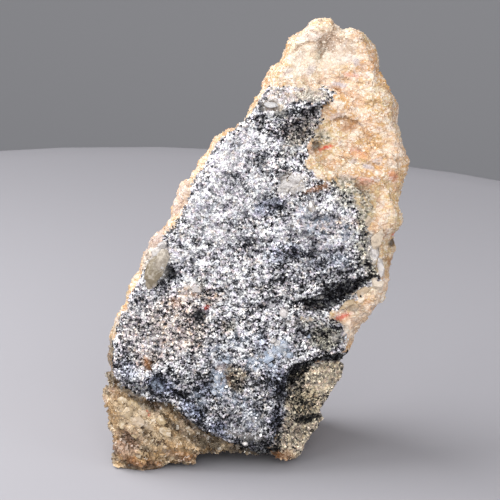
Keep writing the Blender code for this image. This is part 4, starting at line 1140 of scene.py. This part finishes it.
# Studio: a pale floor, a grey backdrop, soft lights and the camera
studio = {
    "floor": {"Base Color": (0.285, 0.278, 0.298, 1.0), "Roughness": 0.85, "Specular IOR Level": 0.15},
    "back": {"Base Color": (0.33, 0.327, 0.342, 1.0), "Roughness": 0.9, "Specular IOR Level": 0.2},
    "farEdge": 0.244,         # metres behind the middle of the rock, at the edge's crest
    "edgeCurve": 4.2,
    "edgeCrest": -0.034,
    "edgeRound": 0.010,
    "edgeSteps": 6,
    "edgeDrop": 0.05,
    "flatEnd": 0.02,          # from the flat's end to the edge
    "mostCurve": 0.05,
    "columns": 73,
    "halfWidth": 0.9,
    "front": -0.7,
    "backdrop": 0.75,
    "backdropHeight": 1.2,
    "backdropFoot": -0.3,
    "elevation": 15.0,
    "distance": 0.45,
    "lookAt": (-0.00124, 0.0, 0.03491),
    "viewWidth": 0.0860,      # metres across the picture at the rock
    "sensor": 36.0,
    "nearest": 0.01,
    "lightsAim": (0.0, 0.0, 0.035),
    "lights": (
        # name, place, size, power, colour
        ("key", (-0.27, -0.28, 0.26), 0.46, 1.6, (1.0, 0.99, 0.97)),
        ("front", (0.04, -0.70, 0.30), 0.46, 4.2, (1.0, 1.0, 1.0)),
        ("fill", (0.36, -0.34, 0.26), 0.40, 0.85, (0.98, 0.99, 1.0)),
        ("top", (-0.17, 0.06, 0.27), 0.30, 1.5, (1.0, 1.0, 1.0)),
    ),
    "world": (0.42, 0.43, 0.45, 1.0),
    "worldStrength": 0.8,
}


# Floor with a softly rounded far edge that curves away to the right
def makeFloor():
    bm = bmesh.new()
    radius, steps = studio["edgeRound"], studio["edgeSteps"]
    rows = []
    for x in np.linspace(-studio["halfWidth"], studio["halfWidth"], studio["columns"]):
        curve = min((x - studio["edgeCrest"]) ** 2, studio["mostCurve"])
        edge = studio["farEdge"] - studio["edgeCurve"] * curve
        profile = [(studio["front"], 0.0), (edge - studio["flatEnd"], 0.0)]
        for i in range(steps + 1):
            angle = math.pi / 2.0 * i / steps
            profile.append((edge - radius * (1.0 - math.sin(angle)), -radius * (1.0 - math.cos(angle))))
        profile.append((edge, -studio["edgeDrop"]))
        rows.append([bm.verts.new((x, y, z)) for y, z in profile])
    for left, right in zip(rows, rows[1:]):
        for i in range(len(left) - 1):
            bm.faces.new((left[i], right[i], right[i + 1], left[i + 1]))
    mesh = bpy.data.meshes.new("floor")
    bm.to_mesh(mesh)
    bm.free()
    mesh.materials.append(newMaterial("paleFloor", studio["floor"])[0])
    mesh.shade_smooth()
    return newObject("floor", mesh)


def makeBackdrop():
    wide, back = studio["halfWidth"] * 2.0, studio["backdrop"]
    low, high = studio["backdropFoot"], studio["backdropHeight"]
    mesh = bpy.data.meshes.new("backdrop")
    mesh.from_pydata(
        [(-wide, back, low), (wide, back, low), (wide, back, high), (-wide, back, high)],
        [], [(0, 1, 2, 3)],
    )
    mesh.materials.append(newMaterial("greyBackdrop", studio["back"])[0])
    return newObject("backdrop", mesh)


def makeLights():
    target = Vector(studio["lightsAim"])
    for name, place, size, power, colour in studio["lights"]:
        lamp = bpy.data.lights.new(name, "AREA")
        lamp.shape = "DISK"
        lamp.size = size
        lamp.energy = power
        lamp.color = colour
        item = newObject(name, lamp)
        item.location = place
        item.rotation_euler = (target - Vector(place)).to_track_quat("-Z", "Y").to_euler()
    world = bpy.data.worlds.new("studio")
    bpy.context.scene.world = world
    world.use_nodes = True
    background = world.node_tree.nodes["Background"]
    background.inputs[0].default_value = studio["world"]
    background.inputs[1].default_value = studio["worldStrength"]


def makeCamera():
    lens = bpy.data.cameras.new("camera")
    lens.sensor_width = studio["sensor"]
    lens.lens = lens.sensor_width * studio["distance"] / studio["viewWidth"]
    lens.clip_start = studio["nearest"]
    item = newObject("camera", lens)
    angle = math.radians(studio["elevation"])
    back = Vector((0.0, -math.cos(angle), math.sin(angle)))
    item.location = Vector(studio["lookAt"]) + back * studio["distance"]
    item.rotation_euler = (-back).to_track_quat("-Z", "Y").to_euler()
    bpy.context.scene.camera = item


makeFloor()
makeBackdrop()
makeLights()
makeCamera()
bpy.context.scene.view_settings.view_transform = "Standard"
print("studio: done")
